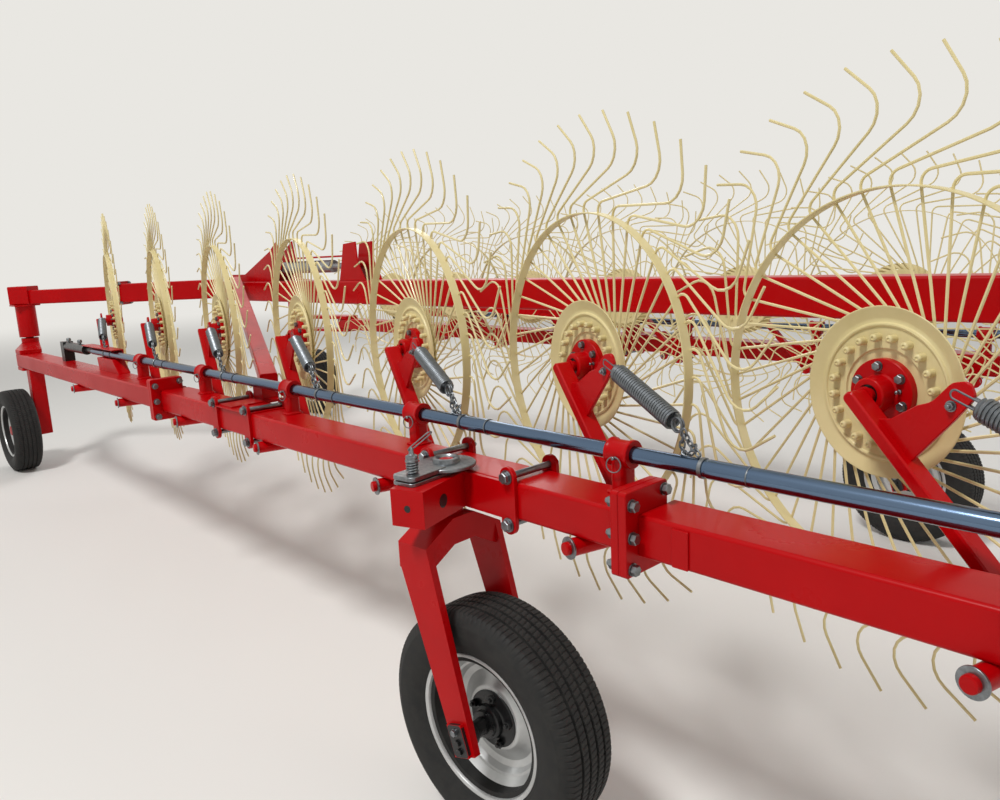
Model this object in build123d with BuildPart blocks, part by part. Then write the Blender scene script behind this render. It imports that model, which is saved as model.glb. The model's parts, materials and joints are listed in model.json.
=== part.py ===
from build123d import *
import os
from math import atan2, cos, degrees, radians, sin, sqrt

os.makedirs("parts", exist_ok=True)

# A two-armed wheel rake with seven raking wheels on each arm, folded for the road.
# All sizes are in millimetres. +X points forward to the tractor, +Y to the left, +Z up.
# The origin is on the ground, at the middle of the machine's length and width.
# The right-hand pieces are modelled, at negative Y, and the left-hand ones are their mirror images.

# Raking wheels
WHEELS_PER_ARM = 7
FRONT_HUB_X = 2575.0
HUB_PITCH = 838.0
HUB_LINE_Y = 1150.0
HUB_Z = 1315.0
TOE = 14.03

TINES = 40
TINE_SECTION = 7.0
TINE_PLANE = -16.5
TINE_CIRCLE_RADIUS = 124.0
TINE_ROOT_RUN = 60.0
TINE_FIRST_CORNER_RADIUS = 458.0
TINE_FIRST_TURN = -92.0
TINE_SECOND_TURN = 97.0
TINE_SECOND_BEND_RADIUS = 59.0
TINE_MIDDLE_LENGTH = 282.6
TINE_TIP_LENGTH = 146.7

HOOP_RADIUS = 433.0
HOOP_WIDTH = 40.0
HOOP_THICKNESS = 4.0
DISH_FLATS = 20
DISH_RADIUS = 187.0
DISH_FLOOR_RADIUS = 160.0
DISH_DEPTH = 13.0
DISH_THICKNESS = 4.0
HUB_FLANGE_RADIUS = 74.0
HUB_FLANGE_THICKNESS = 12.0
HUB_BARREL_RADIUS = 37.5
HUB_BARREL_BACK = -58.0
HUB_BARREL_FRONT = 45.0
BACK_PLATE_THICKNESS = 6.0

# Running clearance of turning and sliding fits, radial, and the gap under resting faces
RUNNING_GAP = 0.6
SEAT_GAP = 0.3

# Sprung cranks that carry the raking wheels
CRANK_BACK = 55.0
CRANK_WIDTH = 50.0
CRANK_THICKNESS = 28.0
CRANK_AXLE_RADIUS = 15.0
CRANK_PIVOT_RADIUS = 23.0
CRANK_PIVOT_END = 294.0
CRANK_WASHER_RADIUS = 29.0
CRANK_WASHER_THICKNESS = 5.0
LUG_THICKNESS = 10.0
LUG_TIP = (215.0, 35.0)
LUG_TIP_RADIUS = 28.0
LUG_HOLE_RADIUS = 9.0
LUG_TIP_REACH = 20.0
# The lug's other corners in the wheel's plane as (forward, up), from the crank's top round to its foot
LUG_UPPER = [(40, -30), (190, 58)]
LUG_LOWER = [(235, 15), (125, -115)]

# How far forward of its hub each crank's pivot lies, from the front wheel to the rear wheel
#                  wheel: pivot forward
PIVOT_FORWARD = {1: 400.0, 2: 335.0, 3: 335.0, 4: 335.0, 5: 335.0, 6: 335.0, 7: 335.0}

# Arm beam
BEAM_FRONT_X = 3195.0
BEAM_REAR_X = -3725.0
BEAM_Y = 1427.0
BEAM_WIDTH = 150.0
BEAM_HEIGHT = 102.0
BEAM_TOP_Z = 1050.0
BEAM_CORNER = 10.0
BEAM_BOTTOM_Z = BEAM_TOP_Z - BEAM_HEIGHT
BEAM_INNER_Y = BEAM_Y - BEAM_WIDTH / 2
BEAM_OUTER_Y = BEAM_Y + BEAM_WIDTH / 2

# Bolted joints along the beam: two plates back to back that reach past the tube on its outer side
BEAM_JOINT_X = [2167.5, -757.5]
JOINT_THICKNESS = 45.0
JOINT_CORNER = 9.0
JOINT_OUTWARD = 45.0
JOINT_INWARD = 36.0
JOINT_ABOVE = 60.0
JOINT_BELOW = 42.0

# Lift shaft, its guides on the beam and its cylinder
SHAFT_Y = 1385.0
SHAFT_Z = 1150.0
SHAFT_RADIUS = 21.0
SHAFT_FRONT_X = 3195.0
SHAFT_REAR_X = -2150.0
GUIDE_FORWARD = 320.0
GUIDE_LENGTH = 70.0
GUIDE_COLLAR_RADIUS = 32.0
GUIDE_LEG_LENGTH = 45.0
GUIDE_LEG_WIDTH = 60.0
GUIDE_RIM = 4.0
GUIDE_RIM_LENGTH = 10.0
GUIDE_FOOT_REACH = 8.0
GUIDE_FOOT_THICKNESS = 6.0
RING_FORWARD = 550.0
RING_LENGTH = 14.0
RING_RADIUS = 31.0
CYLINDER_REAR_X = -2725.0
CYLINDER_FRONT_X = -2290.0
CYLINDER_RADIUS = 32.0
CYLINDER_ROD_RADIUS = 15.0
CYLINDER_FOOT_LENGTH = 70.0
CYLINDER_FOOT_LAP = 20.0

# Float springs between the cranks and the lift shaft
SPRING_RADIUS = 21.5
SPRING_WIRE = 4.0
SPRING_FLATS = 8
SPRING_NECK_RADIUS = 12.0
SPRING_NECK_LENGTH = 10.0
SPRING_LENGTH = 235.0
SPRING_FOOT = (475.0, 220.0, 1235.0)

# Arm hinge, kingpost and rear axle
HINGE_X = -4375.0
HINGE_Y = 1250.0
BARREL_RADIUS = 65.0
BARREL_BOTTOM_Z = 895.0
BARREL_TOP_Z = 1115.0
HINGE_PIN_RADIUS = 30.0
HINGE_TOP_PLATE = 30.0
HINGE_BOTTOM_PLATE = 23.0
HINGE_PLATE_OVERLAP = 140.0
POST_RADIUS = 75.0
POST_PLATE_SIZE = 190.0
POST_PLATE_THICKNESS = 12.0
POST_BOTTOM_Z = 1125.0
POST_TOP_Z = 1395.0
LEG_TOP_Z = 885.0
LEG_SIZE = 110.0
LEG_CORNER = 9.0
LEG_FOOT_X = -4425.0
LEG_FOOT_Y = 1240.0
LEG_FOOT_Z = 285.0
LEG_PLATE_THICKNESS = 12.0
REAR_WHEEL_X = -4425.0
REAR_WHEEL_Y = 1430.0
AXLE_RADIUS = 25.0

# Road tyres and rims, the same at the rear and on the casters
TYRE_RADIUS = 344.5
TYRE_WIDTH = 205.0
TYRE_TREAD_WIDTH = 160.0
TYRE_BELLY_RADIUS = 285.0
TYRE_BEAD_RADIUS = 196.0
TYRE_BEAD_WIDTH = 150.0
TYRE_SIDES = 48
RIM_WIDTH = 156.0
RIM_WALL = 12.0
RIM_DISC_OFFSET = 18.0
RIM_DISC_THICKNESS = 10.0
WHEEL_HUB_RADIUS = 52.0
WHEEL_HUB_FRONT = 62.0
WHEEL_HUB_BACK = -60.0

# Casters under the arms
KINGPIN_X = 1545.0
KINGPIN_Y = 1535.0
KINGPIN_RADIUS = 20.0
KINGPIN_TOP_Z = 1084.0
CASTER_YAW = 4.0
CASTER_TRAIL = 150.0
STUB_TURN = 19.0
STUB_WIDTH = 104.0
STUB_HEIGHT = 102.0
STUB_REACH = 203.0
STUB_BACK = 22.0
STUB_WALL = 10.0
STUB_SIDE_HOLE_RADIUS = 13.0
STUB_SIDE_HOLE_REACH = 108.0
STUB_END_HOLE_RADIUS = 8.0
COLLAR_RADIUS = 30.0
COLLAR_TOP_Z = 1090.0
LOCK_PLATE_Z = 1064.0
LOCK_PLATE_THICKNESS = 10.0
LOCK_NOSE_GAP = 4.0
LOCK_DISC_RADIUS = 84.0
LOCK_TURN = 8.5
LOCK_PIN_REACH = 135.0
LOCK_PIN_RADIUS = 9.0
LOCK_NOSE_WIDTH = 80.0
LOCK_NOSE_REACH = 178.0
LOCK_NOSE_CORNER = 16.0
PLUNGER_SPRING_RADIUS = 14.0
PLUNGER_SPRING_TOP_Z = 1108.0
PLUNGER_CAP_RADIUS = 17.0
PLUNGER_CAP_TOP_Z = 1124.0
PLUNGER_STEM_RADIUS = 6.0
PLUNGER_STEM_TOP_Z = 1146.0
CROWN_EDGE_Z = 872.0
CROWN_TOP_Z = 930.0
CROWN_THICKNESS = 20.0
CROWN_DEPTH = 76.0
CROWN_WALL = 14.0
CROWN_LENGTH = 116.0
FORK_LEG_INNER = 125.0
FORK_LEG_THICKNESS = 22.0
FORK_LEG_WIDTH = 78.0
FORK_LEG_UPRIGHT = 62.0
FORK_LEG_END = 48.0
AXLE_BLOCK_WIDTH = 58.0
AXLE_BLOCK_LENGTH = 92.0
AXLE_BLOCK_THICKNESS = 12.0

# Clamps round the arm beam: two straps on each side of it, joined by long bolts over and under it
CLAMP_THICKNESS = 12.0
CLAMP_STRAP_WIDTH = 54.0
CLAMP_EAR = 27.0
CLAMP_SADDLE = 5.0
CLAMP_BOLT_RADIUS = 9.0
CLAMP_BOLT_GAP = 15.0
CLAMP_BOLT_END = 14.0
CASTER_CLAMP_X = (1421.0, 1770.0)
BRACE_CLAMP_X = (-80.0, 225.0)

# Transport brace between the arm and the spine
BRACE_SIZE = 76.0
BRACE_WALL = 6.0
BRACE_CORNER = 8.0
BRACE_FOOT = (40.0, 1304.5, 1137.0)
BRACE_HEAD = (-2745.0, 128.0, 1510.0)
BRACE_SHELF_X = 15.0
BRACE_SHELF_LENGTH = 120.0
BRACE_SHELF_THICKNESS = 12.0

# Spine, outriggers and drawbar
SPINE_SIZE = 150.0
SPINE_CORNER = 12.0
SPINE_Z = 1430.0
SPINE_REAR_X = -3100.0
SPINE_FRONT_X = 3275.0
OUTRIGGER_Z = 1453.0
OUTRIGGER_SIZE = 150.0
OUTRIGGER_NECK_SIZE = 115.0
OUTRIGGER_FLANGE_SIZE = 190.0
OUTRIGGER_FLANGE_THICKNESS = 36.0
OUTRIGGER_FLANGE_SHARE = 0.49
OUTRIGGER_SLEEVE_SIZE = 150.0
OUTRIGGER_SLEEVE_BACK = 80.0
OUTRIGGER_SLEEVE_FRONT = 90.0
OUTRIGGER_CUT = 300.0
DRAWBAR_KNEE_X = 4050.0
DRAWBAR_Z = 560.0
DRAWBAR_SIZE = 120.0
DRAWBAR_FRONT_X = 4556.5
CLEVIS_PIN_X = 4731.5
CLEVIS_RADIUS = 38.0
CLEVIS_PLATE = 24.0
CLEVIS_GAP = 72.0
CLEVIS_BORE_RADIUS = 16.0

# Parking jack beside the drawbar
JACK_X = 4230.0
JACK_Y = 120.0
JACK_TUBE_RADIUS = 38.0
JACK_LEG_RADIUS = 30.0
JACK_TUBE_BOTTOM_Z = 380.0
JACK_TUBE_CAP = 10.0
JACK_TUBE_TOP_Z = 980.0
JACK_LEG_TOP_Z = 560.0
JACK_FOOT_RADIUS = 95.0
JACK_FOOT_THICKNESS = 12.0
JACK_HEAD_RADIUS = 48.0
JACK_HEAD_HEIGHT = 46.0
JACK_CRANK_RADIUS = 9.0
JACK_CRANK_REACH = 150.0
JACK_HANDLE_LENGTH = 95.0

# Fold gear on the spine
TOWER_PLATE = 12.0
TOWER_SPREAD = 62.0
FOLD_CYLINDER_Z = 1600.0
FOLD_CYLINDER_RADIUS = 42.0
FOLD_ROD_RADIUS = 20.0
FOLD_REAR_PIN_X = -2210.0
FOLD_FRONT_PIN_X = -1240.0
FOLD_PIN_RADIUS = 14.0
FOLD_EYE_RADIUS = 30.0
FOLD_EYE_WIDTH = 50.0
FOLD_BARREL_BACK = 60.0
FOLD_BARREL_FRONT = 250.0


def save(node, name):
    """Label a finished piece and write it to its own file."""
    node.part.label = name
    export_step(node.part, f"parts/{name}.step")


def save_pair(right, name):
    """Write the right-hand piece and its mirror image for the left-hand side."""
    save(right, f"{name}_right")
    with BuildPart() as left:
        mirror(right.part, about=Plane.XZ)
    save(left, f"{name}_left")


def block(x, y, z, mode=Mode.ADD):
    """A box between two limits on each axis, each given as (low, high)."""
    middle = [(pair[0] + pair[1]) / 2 for pair in (x, y, z)]
    size = [abs(pair[1] - pair[0]) for pair in (x, y, z)]
    with Locations(tuple(middle)):
        Box(*size, mode=mode)


def along(start, end, upright=(0, 0, 1)):
    """The place at start that looks along the line to end, with its local Y near upright."""
    run = Vector(*end) - Vector(*start)
    side = Vector(*upright).cross(run)
    return Plane(origin=start, x_dir=side, z_dir=run).location, run.length


def bar(start, end, width, height, upright=(0, 0, 1), mode=Mode.ADD):
    """A straight bar of rectangular section from start to end."""
    place, length = along(start, end, upright)
    with Locations(place):
        Box(width, height, length, align=(Align.CENTER, Align.CENTER, Align.MIN), mode=mode)


def rod(start, end, radius, upright=(0, 0, 1), mode=Mode.ADD):
    """A straight round rod from start to end."""
    place, length = along(start, end, upright)
    with Locations(place):
        Cylinder(radius, length, align=(Align.CENTER, Align.CENTER, Align.MIN), mode=mode)


def beam_clamp(places_x):
    """Straps on both sides of the beam at each place, and the long bolts that join them."""
    ear_top = BEAM_TOP_Z + CLAMP_BOLT_GAP + CLAMP_EAR
    ear_bottom = BEAM_BOTTOM_Z - CLAMP_BOLT_GAP - CLAMP_EAR
    for x in places_x:
        for face_y in (-BEAM_OUTER_Y - CLAMP_THICKNESS, -BEAM_INNER_Y):
            block(
                (x - CLAMP_STRAP_WIDTH / 2, x + CLAMP_STRAP_WIDTH / 2),
                (face_y, face_y + CLAMP_THICKNESS),
                (ear_bottom + CLAMP_EAR, ear_top - CLAMP_EAR),
            )
            for z in (ear_bottom + CLAMP_EAR, ear_top - CLAMP_EAR):
                rod((x, face_y, z), (x, face_y + CLAMP_THICKNESS, z), CLAMP_EAR)
        for z in (ear_bottom + CLAMP_EAR, ear_top - CLAMP_EAR):
            rod(
                (x, -BEAM_OUTER_Y - CLAMP_THICKNESS - CLAMP_BOLT_END, z),
                (x, -BEAM_INNER_Y + CLAMP_THICKNESS + CLAMP_BOLT_END, z),
                CLAMP_BOLT_RADIUS,
            )


def hub_x(number):
    """Where a raking wheel's hub lies along the machine."""
    return FRONT_HUB_X - (number - 1) * HUB_PITCH


def wheel_plane(number):
    """The plane of a right-hand raking wheel: local X forward, Y up, Z out of the machine."""
    forward = (cos(radians(TOE)), -sin(radians(TOE)), 0)
    outward = (-sin(radians(TOE)), -cos(radians(TOE)), 0)
    return Plane(origin=(hub_x(number), -HUB_LINE_Y, HUB_Z), x_dir=forward, z_dir=outward)


# Raking wheel, about its own axis with +Z outboard. One tine leaves the dish as a tangent to a
# circle, bends back outside the hoop, and bends out again to its tip.
first_run = sqrt(TINE_FIRST_CORNER_RADIUS**2 - TINE_CIRCLE_RADIUS**2)
middle_angle = radians(90 + TINE_FIRST_TURN)
tip_angle = middle_angle + radians(TINE_SECOND_TURN)
first_corner = Vector(TINE_CIRCLE_RADIUS, first_run)
sharp_corner = first_corner + Vector(cos(middle_angle), sin(middle_angle)) * TINE_MIDDLE_LENGTH
# The second bend is drawn as one corner, at the middle of the real bend's arc
bend_inset = TINE_SECOND_BEND_RADIUS * (1 / cos(radians(TINE_SECOND_TURN / 2)) - 1)
tip_way = Vector(cos(tip_angle), sin(tip_angle))
tine_tip = sharp_corner + tip_way * TINE_TIP_LENGTH
bend_inward = (tip_way - Vector(cos(middle_angle), sin(middle_angle))).normalized()
second_corner = sharp_corner + bend_inward * bend_inset

with BuildPart() as tine:
    with BuildLine(Plane.XY.offset(TINE_PLANE)) as tine_path:
        Polyline(
            (TINE_CIRCLE_RADIUS, TINE_ROOT_RUN),
            (first_corner.X, first_corner.Y),
            (second_corner.X, second_corner.Y),
            (tine_tip.X, tine_tip.Y),
        )
    with BuildSketch(Plane(origin=tine_path.line @ 0, z_dir=tine_path.line % 0)):
        Rectangle(TINE_SECTION, TINE_SECTION)
    sweep(path=tine_path.line, transition=Transition.RIGHT)

hoop_top = TINE_PLANE - TINE_SECTION / 2
spoke_angle = degrees(atan2(sqrt(HOOP_RADIUS**2 - TINE_CIRCLE_RADIUS**2), TINE_CIRCLE_RADIUS))
hoop_turn = spoke_angle + 180 / TINES

with BuildPart() as rake_wheel:
    # pressed dish with a raised rim
    with BuildSketch(Plane.XY.offset(-DISH_DEPTH)):
        RegularPolygon(DISH_FLOOR_RADIUS, DISH_FLATS)
    with BuildSketch(Plane.XY):
        RegularPolygon(DISH_RADIUS, DISH_FLATS)
    loft()
    with BuildSketch(Plane.XY.offset(DISH_THICKNESS - DISH_DEPTH)):
        RegularPolygon(DISH_FLOOR_RADIUS - DISH_THICKNESS, DISH_FLATS)
    with BuildSketch(Plane.XY):
        RegularPolygon(DISH_RADIUS - 1.5 * DISH_THICKNESS, DISH_FLATS)
    loft(mode=Mode.SUBTRACT)
    # hub flange and barrel
    with BuildSketch(Plane.XY.offset(DISH_THICKNESS - DISH_DEPTH)):
        RegularPolygon(HUB_FLANGE_RADIUS, DISH_FLATS)
    extrude(amount=HUB_FLANGE_THICKNESS)
    with BuildSketch(Plane.XY.offset(HUB_BARREL_BACK)):
        Circle(HUB_BARREL_RADIUS)
    extrude(amount=HUB_BARREL_FRONT - HUB_BARREL_BACK)
    # tines, and the flat hoop that they lie against
    with PolarLocations(0, TINES):
        add(tine.part)
    with BuildSketch(Plane.XY.offset(hoop_top)):
        RegularPolygon(HOOP_RADIUS, TINES, rotation=hoop_turn)
        RegularPolygon(HOOP_RADIUS - HOOP_THICKNESS, TINES, rotation=hoop_turn, mode=Mode.SUBTRACT)
    extrude(amount=-HOOP_WIDTH)
    # plate that clamps the tines' roots from behind
    with BuildSketch(Plane.XY.offset(hoop_top)):
        RegularPolygon(DISH_FLOOR_RADIUS, DISH_FLATS)
    extrude(amount=-BACK_PLATE_THICKNESS)
    with BuildSketch(Plane.XY.offset(HUB_BARREL_BACK)):
        Circle(CRANK_AXLE_RADIUS + RUNNING_GAP)
    extrude(amount=HUB_BARREL_FRONT - HUB_BARREL_BACK, mode=Mode.SUBTRACT)

for number in range(1, WHEELS_PER_ARM + 1):
    with BuildPart() as placed_wheel:
        with Locations(wheel_plane(number).location):
            add(rake_wheel.part)
    placed_wheel.part.label = f"rake_wheel_right_{number}"
    export_step(placed_wheel.part, f"parts/rake_wheel_right_{number}.step")
    with BuildPart() as mirrored_wheel:
        mirror(placed_wheel.part, about=Plane.XZ)
    mirrored_wheel.part.label = f"rake_wheel_left_{number}"
    export_step(mirrored_wheel.part, f"parts/rake_wheel_left_{number}.step")

# Cranks: each has an axle for its wheel, a flat arm, a spring lug and a pivot tube under the beam
pivot_up = BEAM_BOTTOM_Z - SEAT_GAP - CRANK_PIVOT_RADIUS - HUB_Z
crank_middle = CRANK_BACK + CRANK_WIDTH / 2

with BuildPart() as crank_arms:
    for number in range(1, WHEELS_PER_ARM + 1):
        face = wheel_plane(number)
        pivot = (PIVOT_FORWARD[number], pivot_up)
        length = sqrt(pivot[0] ** 2 + pivot[1] ** 2)
        tilt = degrees(atan2(pivot[1], pivot[0]))
        with BuildSketch(face.offset(CRANK_BACK)):
            with Locations((pivot[0] / 2, pivot[1] / 2)):
                SlotCenterToCenter(length, CRANK_THICKNESS, rotation=tilt)
            Circle(CRANK_AXLE_RADIUS)
            with Locations(pivot):
                Circle(CRANK_PIVOT_RADIUS)
        extrude(amount=CRANK_WIDTH)
        with BuildSketch(face.offset(HUB_BARREL_BACK + CRANK_THICKNESS)):
            Circle(CRANK_AXLE_RADIUS)
        extrude(amount=CRANK_BACK - HUB_BARREL_BACK - CRANK_THICKNESS)
        with BuildSketch(face.offset(CRANK_BACK + CRANK_WIDTH)):
            with Locations(pivot):
                Circle(CRANK_PIVOT_RADIUS)
        extrude(amount=CRANK_PIVOT_END - CRANK_BACK - CRANK_WIDTH)
        with BuildSketch(face.offset(CRANK_PIVOT_END)):
            with Locations(pivot):
                Circle(CRANK_WASHER_RADIUS)
        extrude(amount=CRANK_WASHER_THICKNESS)
        # lug for the float spring
        with BuildSketch(face.offset(crank_middle - LUG_THICKNESS / 2)):
            with BuildLine():
                lug_far = (LUG_TIP[0] + LUG_TIP_REACH, LUG_TIP[1] + LUG_TIP_REACH)
                Polyline(*LUG_UPPER, lug_far, *LUG_LOWER, close=True)
            make_face()
            with Locations(LUG_TIP):
                Circle(LUG_TIP_RADIUS)
                Circle(LUG_HOLE_RADIUS, mode=Mode.SUBTRACT)
        extrude(amount=LUG_THICKNESS)
save_pair(crank_arms, "crank_arms")

# Arm beam with its bolted joints, shaft guides and the hinge end
with BuildPart() as beam:
    block((BEAM_REAR_X, BEAM_FRONT_X), (-BEAM_OUTER_Y, -BEAM_INNER_Y), (BEAM_BOTTOM_Z, BEAM_TOP_Z))
    fillet(beam.edges().filter_by(Axis.X), BEAM_CORNER)
    for joint_x in BEAM_JOINT_X:
        joint_width = BEAM_WIDTH + JOINT_OUTWARD - JOINT_INWARD
        joint_height = BEAM_HEIGHT + JOINT_ABOVE + JOINT_BELOW
        joint_middle = (
            joint_x - JOINT_THICKNESS / 2,
            -BEAM_OUTER_Y - JOINT_OUTWARD + joint_width / 2,
            BEAM_BOTTOM_Z - JOINT_BELOW + joint_height / 2,
        )
        with BuildSketch(Plane(origin=joint_middle, x_dir=(0, 1, 0), z_dir=(1, 0, 0))):
            RectangleRounded(joint_width, joint_height, JOINT_CORNER)
        extrude(amount=JOINT_THICKNESS)
    # guides that carry the lift shaft
    for number in range(1, WHEELS_PER_ARM):
        guide_x = hub_x(number) + GUIDE_FORWARD
        block(
            (guide_x - GUIDE_LEG_LENGTH / 2, guide_x + GUIDE_LEG_LENGTH / 2),
            (-SHAFT_Y - GUIDE_LEG_WIDTH / 2, -SHAFT_Y + GUIDE_LEG_WIDTH / 2),
            (BEAM_TOP_Z, SHAFT_Z),
        )
        foot_length = GUIDE_LEG_LENGTH / 2 + GUIDE_FOOT_REACH
        foot_width = GUIDE_LEG_WIDTH / 2 + GUIDE_FOOT_REACH / 2
        block(
            (guide_x - foot_length, guide_x + foot_length),
            (-SHAFT_Y - foot_width, -SHAFT_Y + foot_width),
            (BEAM_TOP_Z - GUIDE_FOOT_THICKNESS, BEAM_TOP_Z + GUIDE_FOOT_THICKNESS),
        )
        collar_back = guide_x - GUIDE_LENGTH / 2
        collar_front = guide_x + GUIDE_LENGTH / 2
        rod((collar_back, -SHAFT_Y, SHAFT_Z), (collar_front, -SHAFT_Y, SHAFT_Z), GUIDE_COLLAR_RADIUS)
        for rim_x in (collar_back, collar_front - GUIDE_RIM_LENGTH):
            rod(
                (rim_x, -SHAFT_Y, SHAFT_Z),
                (rim_x + GUIDE_RIM_LENGTH, -SHAFT_Y, SHAFT_Z),
                GUIDE_COLLAR_RADIUS + GUIDE_RIM,
            )
    rod(
        (SHAFT_REAR_X, -SHAFT_Y, SHAFT_Z),
        (SHAFT_FRONT_X, -SHAFT_Y, SHAFT_Z),
        SHAFT_RADIUS + RUNNING_GAP,
        mode=Mode.SUBTRACT,
    )
    # two plates run back from the beam to the hinge barrel
    for low, high in (
        (BEAM_TOP_Z, BEAM_TOP_Z + HINGE_TOP_PLATE),
        (BEAM_BOTTOM_Z - HINGE_BOTTOM_PLATE, BEAM_BOTTOM_Z),
    ):
        with BuildSketch(Plane.XY.offset(low)):
            with BuildLine():
                Polyline(
                    (BEAM_REAR_X + HINGE_PLATE_OVERLAP, -BEAM_OUTER_Y),
                    (BEAM_REAR_X + HINGE_PLATE_OVERLAP, -BEAM_INNER_Y),
                    (HINGE_X, -HINGE_Y + BARREL_RADIUS),
                    (HINGE_X, -HINGE_Y - BARREL_RADIUS),
                    (BEAM_REAR_X, -BEAM_OUTER_Y),
                    close=True,
                )
            make_face()
        extrude(amount=high - low)
    with BuildSketch(Plane.XY.offset(BARREL_BOTTOM_Z)):
        with Locations((HINGE_X, -HINGE_Y)):
            Circle(BARREL_RADIUS)
    extrude(amount=BARREL_TOP_Z - BARREL_BOTTOM_Z)
    with BuildSketch(Plane.XY.offset(BARREL_BOTTOM_Z)):
        with Locations((HINGE_X, -HINGE_Y)):
            Circle(HINGE_PIN_RADIUS + RUNNING_GAP)
    extrude(amount=BARREL_TOP_Z - BARREL_BOTTOM_Z, mode=Mode.SUBTRACT)
save_pair(beam, "beam")

# Lift shaft with a ring for each spring chain
with BuildPart() as lift_shaft:
    rod((SHAFT_REAR_X, -SHAFT_Y, SHAFT_Z), (SHAFT_FRONT_X, -SHAFT_Y, SHAFT_Z), SHAFT_RADIUS)
    for number in range(1, WHEELS_PER_ARM + 1):
        ring_x = hub_x(number) + RING_FORWARD
        rod(
            (ring_x - RING_LENGTH / 2, -SHAFT_Y, SHAFT_Z),
            (ring_x + RING_LENGTH / 2, -SHAFT_Y, SHAFT_Z),
            RING_RADIUS,
        )
save_pair(lift_shaft, "lift_shaft")

# Lift cylinder in line with the shaft, held by a bracket on the beam
with BuildPart() as lift_cylinder:
    rod((CYLINDER_REAR_X, -SHAFT_Y, SHAFT_Z), (CYLINDER_FRONT_X, -SHAFT_Y, SHAFT_Z), CYLINDER_RADIUS)
    rod((CYLINDER_FRONT_X, -SHAFT_Y, SHAFT_Z), (SHAFT_REAR_X, -SHAFT_Y, SHAFT_Z), CYLINDER_ROD_RADIUS)
    block(
        (CYLINDER_REAR_X + CYLINDER_FOOT_LAP - CYLINDER_FOOT_LENGTH, CYLINDER_REAR_X + CYLINDER_FOOT_LAP),
        (-SHAFT_Y - CYLINDER_RADIUS, -SHAFT_Y + CYLINDER_RADIUS),
        (BEAM_TOP_Z, SHAFT_Z + CYLINDER_RADIUS),
    )
save_pair(lift_cylinder, "lift_cylinder")

# Float springs, each with its hook, coil and chain down to the ring on the lift shaft
with BuildPart() as springs:
    for number in range(1, WHEELS_PER_ARM + 1):
        lug = wheel_plane(number).from_local_coords(Vector(LUG_TIP[0], LUG_TIP[1], crank_middle))
        foot = Vector(hub_x(number) + SPRING_FOOT[0], -HUB_LINE_Y - SPRING_FOOT[1], SPRING_FOOT[2])
        run = (foot - lug).normalized()
        top = lug + run * (LUG_TIP_RADIUS + SEAT_GAP)
        spare = ((foot - top).length - SPRING_LENGTH) / 2
        coil_top = top + run * spare
        coil_foot = foot - run * spare
        ring = Vector(
            hub_x(number) + RING_FORWARD - RING_LENGTH / 2 - SPRING_WIRE,
            -SHAFT_Y,
            SHAFT_Z + RING_RADIUS - SPRING_WIRE,
        )
        neck = run * SPRING_NECK_LENGTH
        for start, end, radius in (
            (top, foot, SPRING_WIRE),
            (coil_top - neck, coil_foot + neck, SPRING_NECK_RADIUS),
            (coil_top, coil_foot, SPRING_RADIUS),
            (foot, ring, SPRING_WIRE),
        ):
            with BuildSketch(Plane(origin=start, z_dir=end - start)):
                RegularPolygon(radius, SPRING_FLATS)
            extrude(amount=(end - start).length)
save_pair(springs, "float_springs")

# Transport brace from the arm up to the spine
with BuildPart() as brace:
    foot = (BRACE_FOOT[0], -BRACE_FOOT[1], BRACE_FOOT[2])
    head = (BRACE_HEAD[0], -BRACE_HEAD[1], BRACE_HEAD[2])
    bar(foot, head, BRACE_SIZE, BRACE_SIZE)
    fillet(brace.edges().filter_by(Axis(foot, Vector(*head) - Vector(*foot))), BRACE_CORNER)
    bar(foot, head, BRACE_SIZE - 2 * BRACE_WALL, BRACE_SIZE - 2 * BRACE_WALL, mode=Mode.SUBTRACT)
save_pair(brace, "transport_brace")

# Bracket that carries the brace's foot, clamped over the beam
with BuildPart() as brace_bracket:
    block(
        (BRACE_SHELF_X - BRACE_SHELF_LENGTH / 2, BRACE_SHELF_X + BRACE_SHELF_LENGTH / 2),
        (-BEAM_OUTER_Y, -BRACE_FOOT[1] + BRACE_SIZE / 2),
        (BEAM_TOP_Z, BEAM_TOP_Z + BRACE_SHELF_THICKNESS),
    )
    block(
        (BRACE_SHELF_X - BRACE_SHELF_LENGTH / 2, BRACE_FOOT[0]),
        (-BRACE_FOOT[1] - BRACE_SIZE / 2, -BRACE_FOOT[1] + BRACE_SIZE / 2),
        (BEAM_TOP_Z + BRACE_SHELF_THICKNESS, BRACE_FOOT[2]),
    )
    bar(foot, head, BRACE_SIZE, BRACE_SIZE, mode=Mode.SUBTRACT)
    # saddle plate over the beam from strap to strap
    block(
        (BRACE_CLAMP_X[0] - CLAMP_STRAP_WIDTH / 2, BRACE_CLAMP_X[1] + CLAMP_STRAP_WIDTH / 2),
        (-BEAM_OUTER_Y - CLAMP_THICKNESS, -BEAM_INNER_Y + CLAMP_THICKNESS),
        (BEAM_TOP_Z, BEAM_TOP_Z + CLAMP_SADDLE),
    )
    beam_clamp(BRACE_CLAMP_X)
save_pair(brace_bracket, "brace_bracket")

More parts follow.
